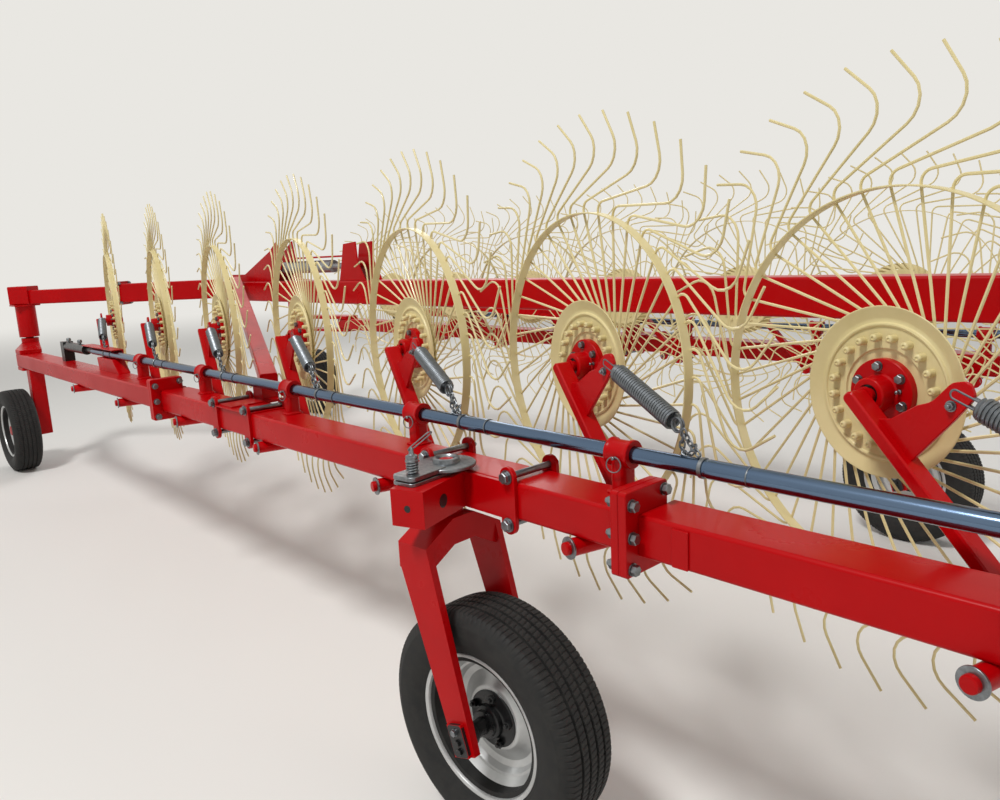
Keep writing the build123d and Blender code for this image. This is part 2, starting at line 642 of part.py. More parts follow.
# Caster bracket: a short square stub clamped to the beam, turned outward and forward
stub_plane = Plane(
    origin=(KINGPIN_X, -KINGPIN_Y, BEAM_BOTTOM_Z),
    x_dir=(sin(radians(STUB_TURN)), -cos(radians(STUB_TURN)), 0),
    z_dir=(0, 0, 1),
)
with BuildPart() as caster_bracket:
    with BuildSketch(stub_plane):
        with Locations(((STUB_REACH - STUB_BACK) / 2, 0)):
            Rectangle(STUB_REACH + STUB_BACK, STUB_WIDTH)
        Circle(KINGPIN_RADIUS + RUNNING_GAP, mode=Mode.SUBTRACT)
    extrude(amount=STUB_HEIGHT)
    block(
        (KINGPIN_X - STUB_REACH, KINGPIN_X + STUB_REACH),
        (-BEAM_OUTER_Y, -BEAM_INNER_Y),
        (BEAM_BOTTOM_Z, BEAM_TOP_Z),
        mode=Mode.SUBTRACT,
    )
    # inspection hole in the tube's front wall and a small one in its end
    for spot, inward, hole_radius in (
        ((STUB_SIDE_HOLE_REACH, STUB_WIDTH / 2), (0, -1), STUB_SIDE_HOLE_RADIUS),
        ((STUB_REACH, 0), (-1, 0), STUB_END_HOLE_RADIUS),
    ):
        outer = stub_plane.from_local_coords(Vector(*spot, STUB_HEIGHT / 2))
        inner = stub_plane.from_local_coords(
            Vector(spot[0] + inward[0] * STUB_WALL, spot[1] + inward[1] * STUB_WALL, STUB_HEIGHT / 2)
        )
        rod(tuple(outer), tuple(inner), hole_radius, mode=Mode.SUBTRACT)
    # plate on the beam's outer face, with the clamp's straps at its ends
    block(
        (CASTER_CLAMP_X[0], CASTER_CLAMP_X[1]),
        (-BEAM_OUTER_Y - CLAMP_THICKNESS, -BEAM_OUTER_Y),
        (BEAM_BOTTOM_Z, BEAM_TOP_Z),
    )
    beam_clamp(CASTER_CLAMP_X)
    with BuildSketch(Plane.XY.offset(BEAM_BOTTOM_Z)):
        with Locations((KINGPIN_X, -KINGPIN_Y)):
            Circle(KINGPIN_RADIUS + RUNNING_GAP)
    extrude(amount=STUB_HEIGHT, mode=Mode.SUBTRACT)
save_pair(caster_bracket, "caster_bracket")

# Lock plates on top of the stub: a disc round the kingpin with a nose, a second nose below it, and
# the sprung plunger that stands through both
lock_plane = Plane(
    origin=(KINGPIN_X, -KINGPIN_Y, BEAM_TOP_Z),
    x_dir=(sin(radians(LOCK_TURN)), -cos(radians(LOCK_TURN)), 0),
    z_dir=(0, 0, 1),
)
nose_side = LOCK_NOSE_WIDTH / 2
nose_outline = [
    (0, -nose_side),
    (LOCK_NOSE_REACH - LOCK_NOSE_CORNER, -nose_side),
    (LOCK_NOSE_REACH, LOCK_NOSE_CORNER - nose_side),
    (LOCK_NOSE_REACH, nose_side - LOCK_NOSE_CORNER),
    (LOCK_NOSE_REACH - LOCK_NOSE_CORNER, nose_side),
    (0, nose_side),
]
with BuildPart() as caster_lock:
    for plate_z, disc_radius in (
        (LOCK_PLATE_Z, LOCK_DISC_RADIUS),
        (LOCK_PLATE_Z - LOCK_NOSE_GAP - LOCK_PLATE_THICKNESS, nose_side),
    ):
        with BuildSketch(lock_plane.offset(plate_z - BEAM_TOP_Z)):
            with BuildLine():
                Polyline(*nose_outline, close=True)
            make_face()
            Circle(disc_radius)
            Circle(KINGPIN_RADIUS + RUNNING_GAP, mode=Mode.SUBTRACT)
        extrude(amount=LOCK_PLATE_THICKNESS)
    with BuildSketch(lock_plane):
        Circle(COLLAR_RADIUS)
        Circle(KINGPIN_RADIUS + RUNNING_GAP, mode=Mode.SUBTRACT)
    extrude(amount=COLLAR_TOP_Z - BEAM_TOP_Z)
    for low_z, high_z, radius in (
        (BEAM_TOP_Z, LOCK_PLATE_Z, LOCK_PIN_RADIUS),
        (LOCK_PLATE_Z + LOCK_PLATE_THICKNESS, PLUNGER_SPRING_TOP_Z, PLUNGER_SPRING_RADIUS),
        (PLUNGER_SPRING_TOP_Z, PLUNGER_CAP_TOP_Z, PLUNGER_CAP_RADIUS),
        (PLUNGER_CAP_TOP_Z, PLUNGER_STEM_TOP_Z, PLUNGER_STEM_RADIUS),
    ):
        with BuildSketch(lock_plane.offset(low_z - BEAM_TOP_Z)):
            with Locations((LOCK_PIN_REACH, 0)):
                Circle(radius)
        extrude(amount=high_z - low_z)
save_pair(caster_lock, "caster_lock")

# Caster fork: kingpin, raised crown and two legs that slant forward to the axle
caster_plane = Plane(
    origin=(KINGPIN_X, -KINGPIN_Y, 0),
    x_dir=(cos(radians(CASTER_YAW)), sin(radians(CASTER_YAW)), 0),
    z_dir=(0, 0, 1),
)
fork_outer = FORK_LEG_INNER + FORK_LEG_THICKNESS
with BuildPart() as caster_fork:
    with BuildSketch(caster_plane.offset(CROWN_TOP_Z - CROWN_THICKNESS)):
        Circle(KINGPIN_RADIUS)
    extrude(amount=KINGPIN_TOP_Z - CROWN_TOP_Z + CROWN_THICKNESS)
    with BuildSketch(caster_plane.offset(CROWN_TOP_Z - CROWN_THICKNESS)):
        Circle(2 * KINGPIN_RADIUS)
    extrude(amount=BEAM_BOTTOM_Z - SEAT_GAP - CROWN_TOP_Z + CROWN_THICKNESS)
    crown_face = Plane(
        origin=caster_plane.from_local_coords(Vector(-CROWN_LENGTH / 2, 0, 0)),
        x_dir=caster_plane.y_dir,
        z_dir=caster_plane.x_dir,
    )
    # bent roof plate, open below between its front and back walls
    neck = 2 * KINGPIN_RADIUS
    pocket_length = CROWN_LENGTH - 2 * CROWN_WALL
    for reach, low_edge, top_drop, length, inset, mode in (
        (fork_outer, CROWN_DEPTH, 0, CROWN_LENGTH, 0, Mode.ADD),
        (FORK_LEG_INNER, CROWN_DEPTH, CROWN_THICKNESS, pocket_length, CROWN_WALL, Mode.SUBTRACT),
    ):
        with BuildSketch(crown_face.offset(inset)):
            with BuildLine():
                Polyline(
                    (-reach, CROWN_EDGE_Z - low_edge),
                    (-reach, CROWN_EDGE_Z - top_drop),
                    (-neck, CROWN_TOP_Z - top_drop),
                    (neck, CROWN_TOP_Z - top_drop),
                    (reach, CROWN_EDGE_Z - top_drop),
                    (reach, CROWN_EDGE_Z - low_edge),
                    (neck, CROWN_TOP_Z - low_edge),
                    (-neck, CROWN_TOP_Z - low_edge),
                    close=True,
                )
            make_face()
        extrude(amount=length, mode=mode)
    leg_run = Vector(CASTER_TRAIL, TYRE_RADIUS - CROWN_EDGE_Z + FORK_LEG_UPRIGHT).normalized()
    leg_across = Vector(-leg_run.Y, leg_run.X)
    leg_end = Vector(CASTER_TRAIL, TYRE_RADIUS) + leg_run * FORK_LEG_END
    end_front = leg_end + leg_across * (FORK_LEG_WIDTH / 2)
    end_back = leg_end - leg_across * (FORK_LEG_WIDTH / 2)
    for side in (-1, 1):
        leg_face = Plane(
            origin=caster_plane.from_local_coords(Vector(0, side * FORK_LEG_INNER, 0)),
            x_dir=caster_plane.x_dir,
            z_dir=caster_plane.y_dir * side,
        )
        lift = leg_face.y_dir.Z
        with BuildSketch(leg_face):
            with BuildLine():
                Polyline(
                    (-CROWN_LENGTH / 2, lift * (CROWN_EDGE_Z - FORK_LEG_UPRIGHT)),
                    (-CROWN_LENGTH / 2, lift * CROWN_EDGE_Z),
                    (CROWN_LENGTH / 2, lift * CROWN_EDGE_Z),
                    (end_front.X, lift * end_front.Y),
                    (end_back.X, lift * end_back.Y),
                    close=True,
                )
            make_face()
        extrude(amount=FORK_LEG_THICKNESS)
        block_place = leg_face.offset(FORK_LEG_THICKNESS).location * Location(
            (CASTER_TRAIL, lift * TYRE_RADIUS, 0), (0, 0, lift * degrees(atan2(leg_run.Y, leg_run.X)))
        )
        with Locations(block_place):
            Box(
                AXLE_BLOCK_LENGTH,
                AXLE_BLOCK_WIDTH,
                AXLE_BLOCK_THICKNESS,
                align=(Align.CENTER, Align.CENTER, Align.MIN),
            )
    axle_face = Plane(
        origin=caster_plane.from_local_coords(Vector(CASTER_TRAIL, -fork_outer, TYRE_RADIUS)),
        x_dir=caster_plane.x_dir,
        z_dir=caster_plane.y_dir,
    )
    with BuildSketch(axle_face):
        Circle(AXLE_RADIUS)
    extrude(amount=2 * fork_outer)
save_pair(caster_fork, "caster_fork")

# Road wheel about its own axis, with +Z outboard
# The tyre has flat sides all round, with one flat on the ground
#               radius,            place along the axis
TYRE_SECTIONS = [
    (TYRE_BEAD_RADIUS, -TYRE_BEAD_WIDTH / 2),
    (TYRE_BELLY_RADIUS, -TYRE_WIDTH / 2),
    (TYRE_RADIUS, -TYRE_TREAD_WIDTH / 2),
    (TYRE_RADIUS, TYRE_TREAD_WIDTH / 2),
    (TYRE_BELLY_RADIUS, TYRE_WIDTH / 2),
    (TYRE_BEAD_RADIUS, TYRE_BEAD_WIDTH / 2),
]
with BuildPart() as road_tyre:
    for radius, height in TYRE_SECTIONS:
        with BuildSketch(Plane.XY.offset(height)):
            RegularPolygon(radius, TYRE_SIDES, major_radius=False, rotation=180 / TYRE_SIDES)
    loft(ruled=True)
    with BuildSketch(Plane.XY.offset(-TYRE_BEAD_WIDTH / 2)):
        RegularPolygon(TYRE_BEAD_RADIUS, TYRE_SIDES, major_radius=False, rotation=180 / TYRE_SIDES)
    extrude(amount=TYRE_BEAD_WIDTH, mode=Mode.SUBTRACT)

rim_radius = TYRE_BEAD_RADIUS - SEAT_GAP
disc_back = RIM_DISC_OFFSET - RIM_DISC_THICKNESS
with BuildPart() as road_rim:
    with BuildSketch(Plane.XZ):
        with BuildLine():
            Polyline(
                (AXLE_RADIUS + RUNNING_GAP, WHEEL_HUB_BACK),
                (WHEEL_HUB_RADIUS, WHEEL_HUB_BACK),
                (WHEEL_HUB_RADIUS, disc_back),
                (rim_radius - RIM_WALL, disc_back),
                (rim_radius - RIM_WALL, -RIM_WIDTH / 2),
                (rim_radius, -RIM_WIDTH / 2),
                (rim_radius, RIM_WIDTH / 2),
                (rim_radius - RIM_WALL, RIM_WIDTH / 2),
                (rim_radius - RIM_WALL, RIM_DISC_OFFSET),
                (WHEEL_HUB_RADIUS, RIM_DISC_OFFSET),
                (WHEEL_HUB_RADIUS, WHEEL_HUB_FRONT),
                (AXLE_RADIUS + RUNNING_GAP, WHEEL_HUB_FRONT),
                close=True,
            )
        make_face()
    revolve(axis=Axis.Z)

caster_centre = caster_plane.from_local_coords(Vector(CASTER_TRAIL, 0, TYRE_RADIUS))
# Where the right-hand road wheels stand, and which way their outer side looks
#                name            centre                                     outboard
ROAD_WHEELS = [
    ("rear", (REAR_WHEEL_X, -REAR_WHEEL_Y, TYRE_RADIUS), (0, -1, 0)),
    ("caster", tuple(caster_centre), tuple(caster_plane.y_dir * -1)),
]
for wheel_name, centre, outboard in ROAD_WHEELS:
    wheel_face = Plane(origin=centre, x_dir=(outboard[1] * -1, outboard[0], 0), z_dir=outboard)
    for piece_name, piece in (("tyre", road_tyre), ("rim", road_rim)):
        with BuildPart() as placed_piece:
            with Locations(wheel_face.location):
                add(piece.part)
        save_pair(placed_piece, f"{wheel_name}_{piece_name}")

# Kingpost of the frame: tube above the arm's hinge, pin through it, and the leg with the axle
leg_head = (HINGE_X, -HINGE_Y, LEG_TOP_Z - LEG_PLATE_THICKNESS)
leg_foot = (LEG_FOOT_X, -LEG_FOOT_Y, LEG_FOOT_Z)
with BuildPart() as kingpost:
    bar(leg_head, leg_foot, LEG_SIZE, LEG_SIZE, upright=(0, 1, 0))
    fillet(kingpost.edges().filter_by(Axis(leg_head, Vector(*leg_foot) - Vector(*leg_head))), LEG_CORNER)
    block(
        (HINGE_X - POST_PLATE_SIZE / 2, HINGE_X + POST_PLATE_SIZE / 2),
        (-HINGE_Y - POST_PLATE_SIZE / 2, -HINGE_Y + POST_PLATE_SIZE / 2),
        (POST_TOP_Z - POST_PLATE_THICKNESS, POST_TOP_Z),
    )
    with BuildSketch(Plane.XY.offset(POST_BOTTOM_Z)):
        with Locations((HINGE_X, -HINGE_Y)):
            Circle(POST_RADIUS)
    extrude(amount=POST_TOP_Z - POST_BOTTOM_Z)
    with BuildSketch(Plane.XY.offset(LEG_TOP_Z - LEG_PLATE_THICKNESS)):
        with Locations((HINGE_X, -HINGE_Y)):
            Circle(POST_RADIUS)
    extrude(amount=LEG_PLATE_THICKNESS)
    with BuildSketch(Plane.XY.offset(LEG_TOP_Z)):
        with Locations((HINGE_X, -HINGE_Y)):
            Circle(HINGE_PIN_RADIUS)
    extrude(amount=POST_BOTTOM_Z - LEG_TOP_Z)
    rod(
        (REAR_WHEEL_X, -LEG_FOOT_Y, TYRE_RADIUS),
        (REAR_WHEEL_X, -REAR_WHEEL_Y - WHEEL_HUB_FRONT, TYRE_RADIUS),
        AXLE_RADIUS,
    )
save_pair(kingpost, "kingpost")

# Outrigger from the kingpost to the spine, with its bolted flange part way
outrigger_start = (HINGE_X, -HINGE_Y, OUTRIGGER_Z)
outrigger_end = (SPINE_REAR_X, -SPINE_SIZE / 2, OUTRIGGER_Z)
outrigger_run = Vector(*outrigger_end) - Vector(*outrigger_start)
flange_spot = Vector(*outrigger_start) + outrigger_run * OUTRIGGER_FLANGE_SHARE
flange_far = flange_spot + outrigger_run.normalized() * OUTRIGGER_FLANGE_THICKNESS
outrigger_ahead = outrigger_run.normalized()
sleeve_lift = Vector(0, 0, (OUTRIGGER_SLEEVE_SIZE - OUTRIGGER_NECK_SIZE) / 2)
sleeve_back = Vector(*outrigger_start) - outrigger_ahead * OUTRIGGER_SLEEVE_BACK + sleeve_lift
sleeve_front = Vector(*outrigger_start) + outrigger_ahead * OUTRIGGER_SLEEVE_FRONT + sleeve_lift
with BuildPart() as outrigger:
    bar(outrigger_start, tuple(flange_spot), OUTRIGGER_NECK_SIZE, OUTRIGGER_NECK_SIZE)
    bar(tuple(flange_spot), tuple(flange_far), OUTRIGGER_FLANGE_SIZE, OUTRIGGER_FLANGE_SIZE)
    bar(tuple(flange_far), outrigger_end, OUTRIGGER_SIZE, OUTRIGGER_SIZE)
    # sleeve over the kingpost, flush with the neck's underside
    bar(tuple(sleeve_back), tuple(sleeve_front), OUTRIGGER_SLEEVE_SIZE, OUTRIGGER_SLEEVE_SIZE)
    fillet(outrigger.edges().filter_by(Axis(outrigger_start, outrigger_run)), SPINE_CORNER)
    block(
        (SPINE_REAR_X - OUTRIGGER_CUT, SPINE_REAR_X + OUTRIGGER_CUT),
        (-SPINE_SIZE / 2, SPINE_SIZE / 2),
        (OUTRIGGER_Z - OUTRIGGER_SIZE, OUTRIGGER_Z + OUTRIGGER_SIZE),
        mode=Mode.SUBTRACT,
    )
save_pair(outrigger, "outrigger")

# Spine, drawbar and clevis
spine_bottom = SPINE_Z - SPINE_SIZE / 2
spine_top = SPINE_Z + SPINE_SIZE / 2
with BuildPart() as spine:
    block(
        (SPINE_REAR_X - OUTRIGGER_SIZE, SPINE_FRONT_X),
        (-SPINE_SIZE / 2, SPINE_SIZE / 2),
        (spine_bottom, spine_top),
    )
    fillet(spine.edges().filter_by(Axis.X), SPINE_CORNER)
save(spine, "spine")

with BuildPart() as drawbar:
    bar(
        (SPINE_FRONT_X, 0, SPINE_Z),
        (DRAWBAR_KNEE_X, 0, DRAWBAR_Z),
        DRAWBAR_SIZE,
        DRAWBAR_SIZE,
    )
    block(
        (DRAWBAR_KNEE_X - DRAWBAR_SIZE / 2, DRAWBAR_FRONT_X),
        (-DRAWBAR_SIZE / 2, DRAWBAR_SIZE / 2),
        (DRAWBAR_Z - DRAWBAR_SIZE / 2, DRAWBAR_Z + DRAWBAR_SIZE / 2),
    )
    block(
        (SPINE_FRONT_X - SPINE_SIZE, SPINE_FRONT_X),
        (-SPINE_SIZE, SPINE_SIZE),
        (spine_bottom - SPINE_SIZE, spine_top + SPINE_SIZE),
        mode=Mode.SUBTRACT,
    )
save(drawbar, "drawbar")

with BuildPart() as clevis:
    block(
        (DRAWBAR_FRONT_X, DRAWBAR_FRONT_X + CLEVIS_PLATE),
        (-DRAWBAR_SIZE / 2, DRAWBAR_SIZE / 2),
        (DRAWBAR_Z - DRAWBAR_SIZE / 2, DRAWBAR_Z + DRAWBAR_SIZE / 2),
    )
    for low in (DRAWBAR_Z - CLEVIS_GAP / 2 - CLEVIS_PLATE, DRAWBAR_Z + CLEVIS_GAP / 2):
        with BuildSketch(Plane.XY.offset(low)):
            with Locations(((DRAWBAR_FRONT_X + CLEVIS_PIN_X) / 2, 0)):
                Rectangle(CLEVIS_PIN_X - DRAWBAR_FRONT_X, 2 * CLEVIS_RADIUS)
            with Locations((CLEVIS_PIN_X, 0)):
                Circle(CLEVIS_RADIUS)
                Circle(CLEVIS_BORE_RADIUS, mode=Mode.SUBTRACT)
        extrude(amount=CLEVIS_PLATE)
save(clevis, "hitch_clevis")

# Parking jack
with BuildPart() as jack_tube:
    with BuildSketch(Plane.XY.offset(JACK_TUBE_BOTTOM_Z)):
        with Locations((JACK_X, JACK_Y)):
            Circle(JACK_TUBE_RADIUS)
    extrude(amount=JACK_TUBE_TOP_Z - JACK_TUBE_BOTTOM_Z)
    block(
        (JACK_X - JACK_TUBE_RADIUS, JACK_X + JACK_TUBE_RADIUS),
        (DRAWBAR_SIZE / 2, JACK_Y),
        (DRAWBAR_Z - DRAWBAR_SIZE / 2, DRAWBAR_Z + DRAWBAR_SIZE / 2),
    )
    with BuildSketch(Plane.XY.offset(JACK_TUBE_BOTTOM_Z)):
        with Locations((JACK_X, JACK_Y)):
            Circle(JACK_LEG_RADIUS + RUNNING_GAP)
    extrude(amount=JACK_TUBE_TOP_Z - JACK_TUBE_BOTTOM_Z - JACK_TUBE_CAP, mode=Mode.SUBTRACT)
    # gear head with its crank and handle
    crank_z = JACK_TUBE_TOP_Z + JACK_HEAD_HEIGHT / 2
    crank_y = JACK_Y + JACK_HEAD_RADIUS + JACK_CRANK_RADIUS
    jack_top = (JACK_X, JACK_Y, JACK_TUBE_TOP_Z)
    rod(jack_top, (JACK_X, JACK_Y, JACK_TUBE_TOP_Z + JACK_HEAD_HEIGHT), JACK_HEAD_RADIUS, upright=(1, 0, 0))
    rod((JACK_X, JACK_Y, crank_z), (JACK_X, crank_y + JACK_CRANK_RADIUS, crank_z), JACK_CRANK_RADIUS)
    rod((JACK_X, crank_y, crank_z), (JACK_X - JACK_CRANK_REACH, crank_y, crank_z), JACK_CRANK_RADIUS)
    handle_x = JACK_X - JACK_CRANK_REACH
    rod((handle_x, crank_y, crank_z), (handle_x, crank_y + JACK_HANDLE_LENGTH, crank_z), JACK_CRANK_RADIUS)
save(jack_tube, "jack_tube")

with BuildPart() as jack_leg:
    with BuildSketch(Plane.XY):
        with Locations((JACK_X, JACK_Y)):
            Circle(JACK_FOOT_RADIUS)
    extrude(amount=JACK_FOOT_THICKNESS)
    with BuildSketch(Plane.XY.offset(JACK_FOOT_THICKNESS)):
        with Locations((JACK_X, JACK_Y)):
            Circle(JACK_LEG_RADIUS)
    extrude(amount=JACK_LEG_TOP_Z - JACK_FOOT_THICKNESS)
save(jack_leg, "jack_leg")

# Fold gear: two towers on the spine with the fold cylinder between them
# Side outlines of the towers' plates as (x, z)
REAR_TOWER = [
    (-2925, spine_top),
    (-2225, spine_top),
    (-2110, 1600),
    (-2150, 1790),
    (-2270, 1720),
    (-2700, 1560),
    (-2925, 1560),
]
FRONT_TOWER = [
    (-1325, spine_top),
    (-1025, spine_top),
    (-1100, 1620),
    (-1110, 1750),
    (-1250, 1740),
    (-1290, 1600),
]
with BuildPart() as fold_towers:
    for outline in (REAR_TOWER, FRONT_TOWER):
        for side in (-1, 1):
            with BuildSketch(Plane.XZ.offset(side * TOWER_SPREAD)):
                with BuildLine():
                    Polyline(*outline, close=True)
                make_face()
            extrude(amount=TOWER_PLATE / 2, both=True)
    for pin_x in (FOLD_REAR_PIN_X, FOLD_FRONT_PIN_X):
        rod(
            (pin_x, -TOWER_SPREAD, FOLD_CYLINDER_Z),
            (pin_x, TOWER_SPREAD, FOLD_CYLINDER_Z),
            FOLD_PIN_RADIUS,
        )
save(fold_towers, "fold_towers")

with BuildPart() as fold_cylinder:
    rod(
        (FOLD_REAR_PIN_X + FOLD_BARREL_BACK, 0, FOLD_CYLINDER_Z),
        (FOLD_FRONT_PIN_X - FOLD_BARREL_FRONT, 0, FOLD_CYLINDER_Z),
        FOLD_CYLINDER_RADIUS,
    )
    rod((FOLD_REAR_PIN_X, 0, FOLD_CYLINDER_Z), (FOLD_FRONT_PIN_X, 0, FOLD_CYLINDER_Z), FOLD_ROD_RADIUS)
    for pin_x in (FOLD_REAR_PIN_X, FOLD_FRONT_PIN_X):
        rod(
            (pin_x, -FOLD_EYE_WIDTH / 2, FOLD_CYLINDER_Z),
            (pin_x, FOLD_EYE_WIDTH / 2, FOLD_CYLINDER_Z),
            FOLD_EYE_RADIUS,
        )
        rod(
            (pin_x, -TOWER_SPREAD, FOLD_CYLINDER_Z),
            (pin_x, TOWER_SPREAD, FOLD_CYLINDER_Z),
            FOLD_PIN_RADIUS + SEAT_GAP,
            mode=Mode.SUBTRACT,
        )
save(fold_cylinder, "fold_cylinder")
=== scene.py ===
"""Looks of a wheel rake: two arms of toothed raking wheels on casters, folded for the road.

Shapes are worked out in millimetres in the machine's frame: +X forward, +Y left, +Z up.
Right-hand pieces are made, and left-hand ones are their mirror images.
"""
import json
import logging
from dataclasses import dataclass
from enum import Enum
from functools import cache

import bmesh
import bpy
import numpy as np
from mathutils import Matrix


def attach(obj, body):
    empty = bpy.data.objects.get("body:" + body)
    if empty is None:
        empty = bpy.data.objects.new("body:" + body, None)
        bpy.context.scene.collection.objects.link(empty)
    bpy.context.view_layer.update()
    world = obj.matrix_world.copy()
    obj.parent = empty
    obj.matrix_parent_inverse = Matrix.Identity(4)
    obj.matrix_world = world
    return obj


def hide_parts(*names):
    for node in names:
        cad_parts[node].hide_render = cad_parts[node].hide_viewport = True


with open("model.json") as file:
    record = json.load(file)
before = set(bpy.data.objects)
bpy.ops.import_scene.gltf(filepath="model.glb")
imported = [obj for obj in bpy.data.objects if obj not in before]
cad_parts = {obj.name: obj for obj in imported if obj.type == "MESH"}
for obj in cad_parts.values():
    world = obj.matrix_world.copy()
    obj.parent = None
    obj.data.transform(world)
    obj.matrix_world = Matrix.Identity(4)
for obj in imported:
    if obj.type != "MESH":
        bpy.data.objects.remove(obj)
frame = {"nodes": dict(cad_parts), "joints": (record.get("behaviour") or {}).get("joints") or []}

Array = np.ndarray
Pair = tuple[float, float]
Spot = tuple[float, float, float]
Vectors = Array | Spot | list
MM = 0.001
WHEELS = range(1, 8)
JOINTS = {joint["name"]: joint for joint in frame["joints"]}
UP = np.array([0.0, 0.0, 1.0])
FORWARD = np.array([1.0, 0.0, 0.0])
OUTWARD = np.array([0.0, -1.0, 0.0])
# Angles from which an edge is shaded sharp on new pieces and on dressed solids, and bevelled on the latter
SHARP, SOLID_SHARP, BEVELLED = np.radians([38.0, 60.0, 35.0])
# A solid's faces are joined where they turn less than this, and its points where they are closer
FLAT = np.radians(1.0)
SAME_SPOT = 0.02 * MM
# Lines that several sub-assemblies share
SHAFT_Y, SHAFT_Z = -1385.0, 1150.0
BEAM_TOP = 1050.0
KINGPIN = (1545.0, -1535.0)
log = logging.getLogger("wheel_rake")


class Side(Enum):
    """The side of the machine that a piece is on."""

    RIGHT = "right"
    LEFT = "left"


# Surfaces


@dataclass
class Patch:
    """A surface: its points in millimetres, and its faces as corner numbers, one array per face size."""

    points: Array
    faces: list[Array]

    def laid(self, place: Array) -> "Patch":
        """The surface turned and moved by a place, or copied to each of several.

        Args:
            place: place matrices, (4, 4) or (copies, 4, 4).

        Returns:
            One surface that holds all the copies.
        """
        place = place.reshape(-1, 4, 4)
        points = np.einsum("kab,nb->kna", place[:, :3, :3], self.points) + place[:, None, :3, 3]
        steps = np.arange(len(place)) * len(self.points)
        faces = [(f[None] + steps[:, None, None]).reshape(-1, f.shape[1]) for f in self.faces]
        return Patch(points.reshape(-1, 3), faces)

    def at(self, origin: Vectors, outward: Vectors = UP, sideways: Vectors = FORWARD) -> "Patch":
        """The surface with its origin at one spot or several, its Z outward and its X sideways."""
        return self.laid(places(origin, outward, sideways))

    def mirrored(self) -> "Patch":
        """The mirror image across the machine's middle plane, with its faces still outward."""
        return Patch(self.points * (1, -1, 1), [f[:, ::-1] for f in self.faces])


def unit(vectors: Array) -> Array:
    """Each vector divided by its length."""
    return vectors / np.linalg.norm(vectors, axis=-1, keepdims=True)


def places(origins: Vectors, outward: Vectors, sideways: Vectors) -> Array:
    """Place matrices with local Z along outward and local X as near sideways as a right angle allows.

    Args:
        origins: where each local origin goes.
        outward: direction of each local Z.
        sideways: rough direction of each local X.

    Returns:
        Matrices of shape (places, 4, 4).
    """
    given = (np.atleast_2d(np.asarray(v, float)) for v in (origins, outward, sideways))
    origin, z, x = np.broadcast_arrays(*given)
    z = unit(z)
    x = unit(x - (x * z).sum(-1, keepdims=True) * z)
    result = np.zeros((len(z), 4, 4))
    result[:, :3, 0], result[:, :3, 1], result[:, :3, 2] = x, np.cross(z, x), z
    result[:, :3, 3], result[:, 3, 3] = origin, 1
    return result


def around(count: int, radius: float = 0.0, height: float = 0.0, first: float = 0.0) -> Array:
    """Places spaced evenly round the Z axis, each turned with its angle.

    Args:
        count: number of places.
        radius: distance from the axis.
        height: distance along the axis.
        first: angle of the first place in degrees.

    Returns:
        Matrices of shape (count, 4, 4).
    """
    angle = np.radians(first) + np.arange(count) * 2 * np.pi / count
    ray = np.stack([np.cos(angle), np.sin(angle), np.zeros(count)], -1)
    return places(ray * radius + UP * height, UP, ray)


def net(count_u: int, count_v: int, wrap_u: bool, wrap_v: bool) -> Array:
    """Four-cornered faces of a grid of points, outward where du x dv points outward.

    Args:
        count_u: points along the first parameter.
        count_v: points along the second parameter.
        wrap_u: whether the first parameter closes on itself.
        wrap_v: whether the second parameter closes on itself.

    Returns:
        Corner numbers, (faces, 4).
    """
    u = np.arange(count_u if wrap_u else count_u - 1)[:, None]
    v = np.arange(count_v if wrap_v else count_v - 1)[None, :]
    next_u, next_v = (u + 1) % count_u, (v + 1) % count_v
    corners = (u * count_v + v, next_u * count_v + v, next_u * count_v + next_v, u * count_v + next_v)
    return np.stack(corners, -1).reshape(-1, 4)


def turned(profile: list | Array, steps: int = 40, closed: bool = False) -> Patch:
    """A turned form: (r cos a, r sin a, z) for each profile row (r, z) and each angle a.

    Args:
        profile: rows (r, z), counter-clockwise with r to the right and z up.
        steps: number of angles.
        closed: whether the profile closes on itself as a ring's does.

    Returns:
        The surface, with flat ends where the profile is open.
    """
    rows = np.asarray(profile, float)
    angle = np.linspace(0, 2 * np.pi, steps, endpoint=False)[:, None]
    flat = np.broadcast_to(rows[:, 1], (steps, len(rows)))
    points = np.stack([rows[:, 0] * np.cos(angle), rows[:, 0] * np.sin(angle), flat], -1)
    faces = [net(steps, len(rows), True, closed)]
    if not closed:
        rim = np.arange(steps) * len(rows)
        faces.append(np.stack([rim[::-1], rim + len(rows) - 1]))
    return Patch(points.reshape(-1, 3), faces)


def carried(profile: Array, path: Array, closed: bool = False, swell: Array | None = None) -> Patch:
    """A profile carried along a path: path + x * side + y * up for each profile row (x, y).

    Side is UP x ahead and up is ahead x side, where ahead halves the turn at each path point.

    Args:
        profile: rows (x, y), counter-clockwise.
        path: points of the path, (points, 3).
        closed: whether the path closes on itself.
        swell: factor on the profile at each path point.

    Returns:
        The surface, with flat ends where the path is open.
    """
    leaving = unit(np.roll(path, -1, 0) - path)
    coming = np.roll(leaving, 1, 0)
    if not closed:
        leaving[-1], coming[0] = leaving[-2], leaving[0]
    ahead = unit(leaving + coming)
    side = unit(np.cross(UP, ahead))
    up = np.cross(ahead, side)
    scale = np.ones(len(path)) if swell is None else swell
    across = profile[None] * scale[:, None, None]
    points = path[:, None] + across[..., :1] * side[:, None] + across[..., 1:] * up[:, None]
    faces = [net(len(path), len(profile), closed, True)[:, ::-1]]
    if not closed:
        rim = np.arange(len(profile))
        faces.append(np.stack([rim[::-1], rim + (len(path) - 1) * len(profile)]))
    return Patch(points.reshape(-1, 3), faces)


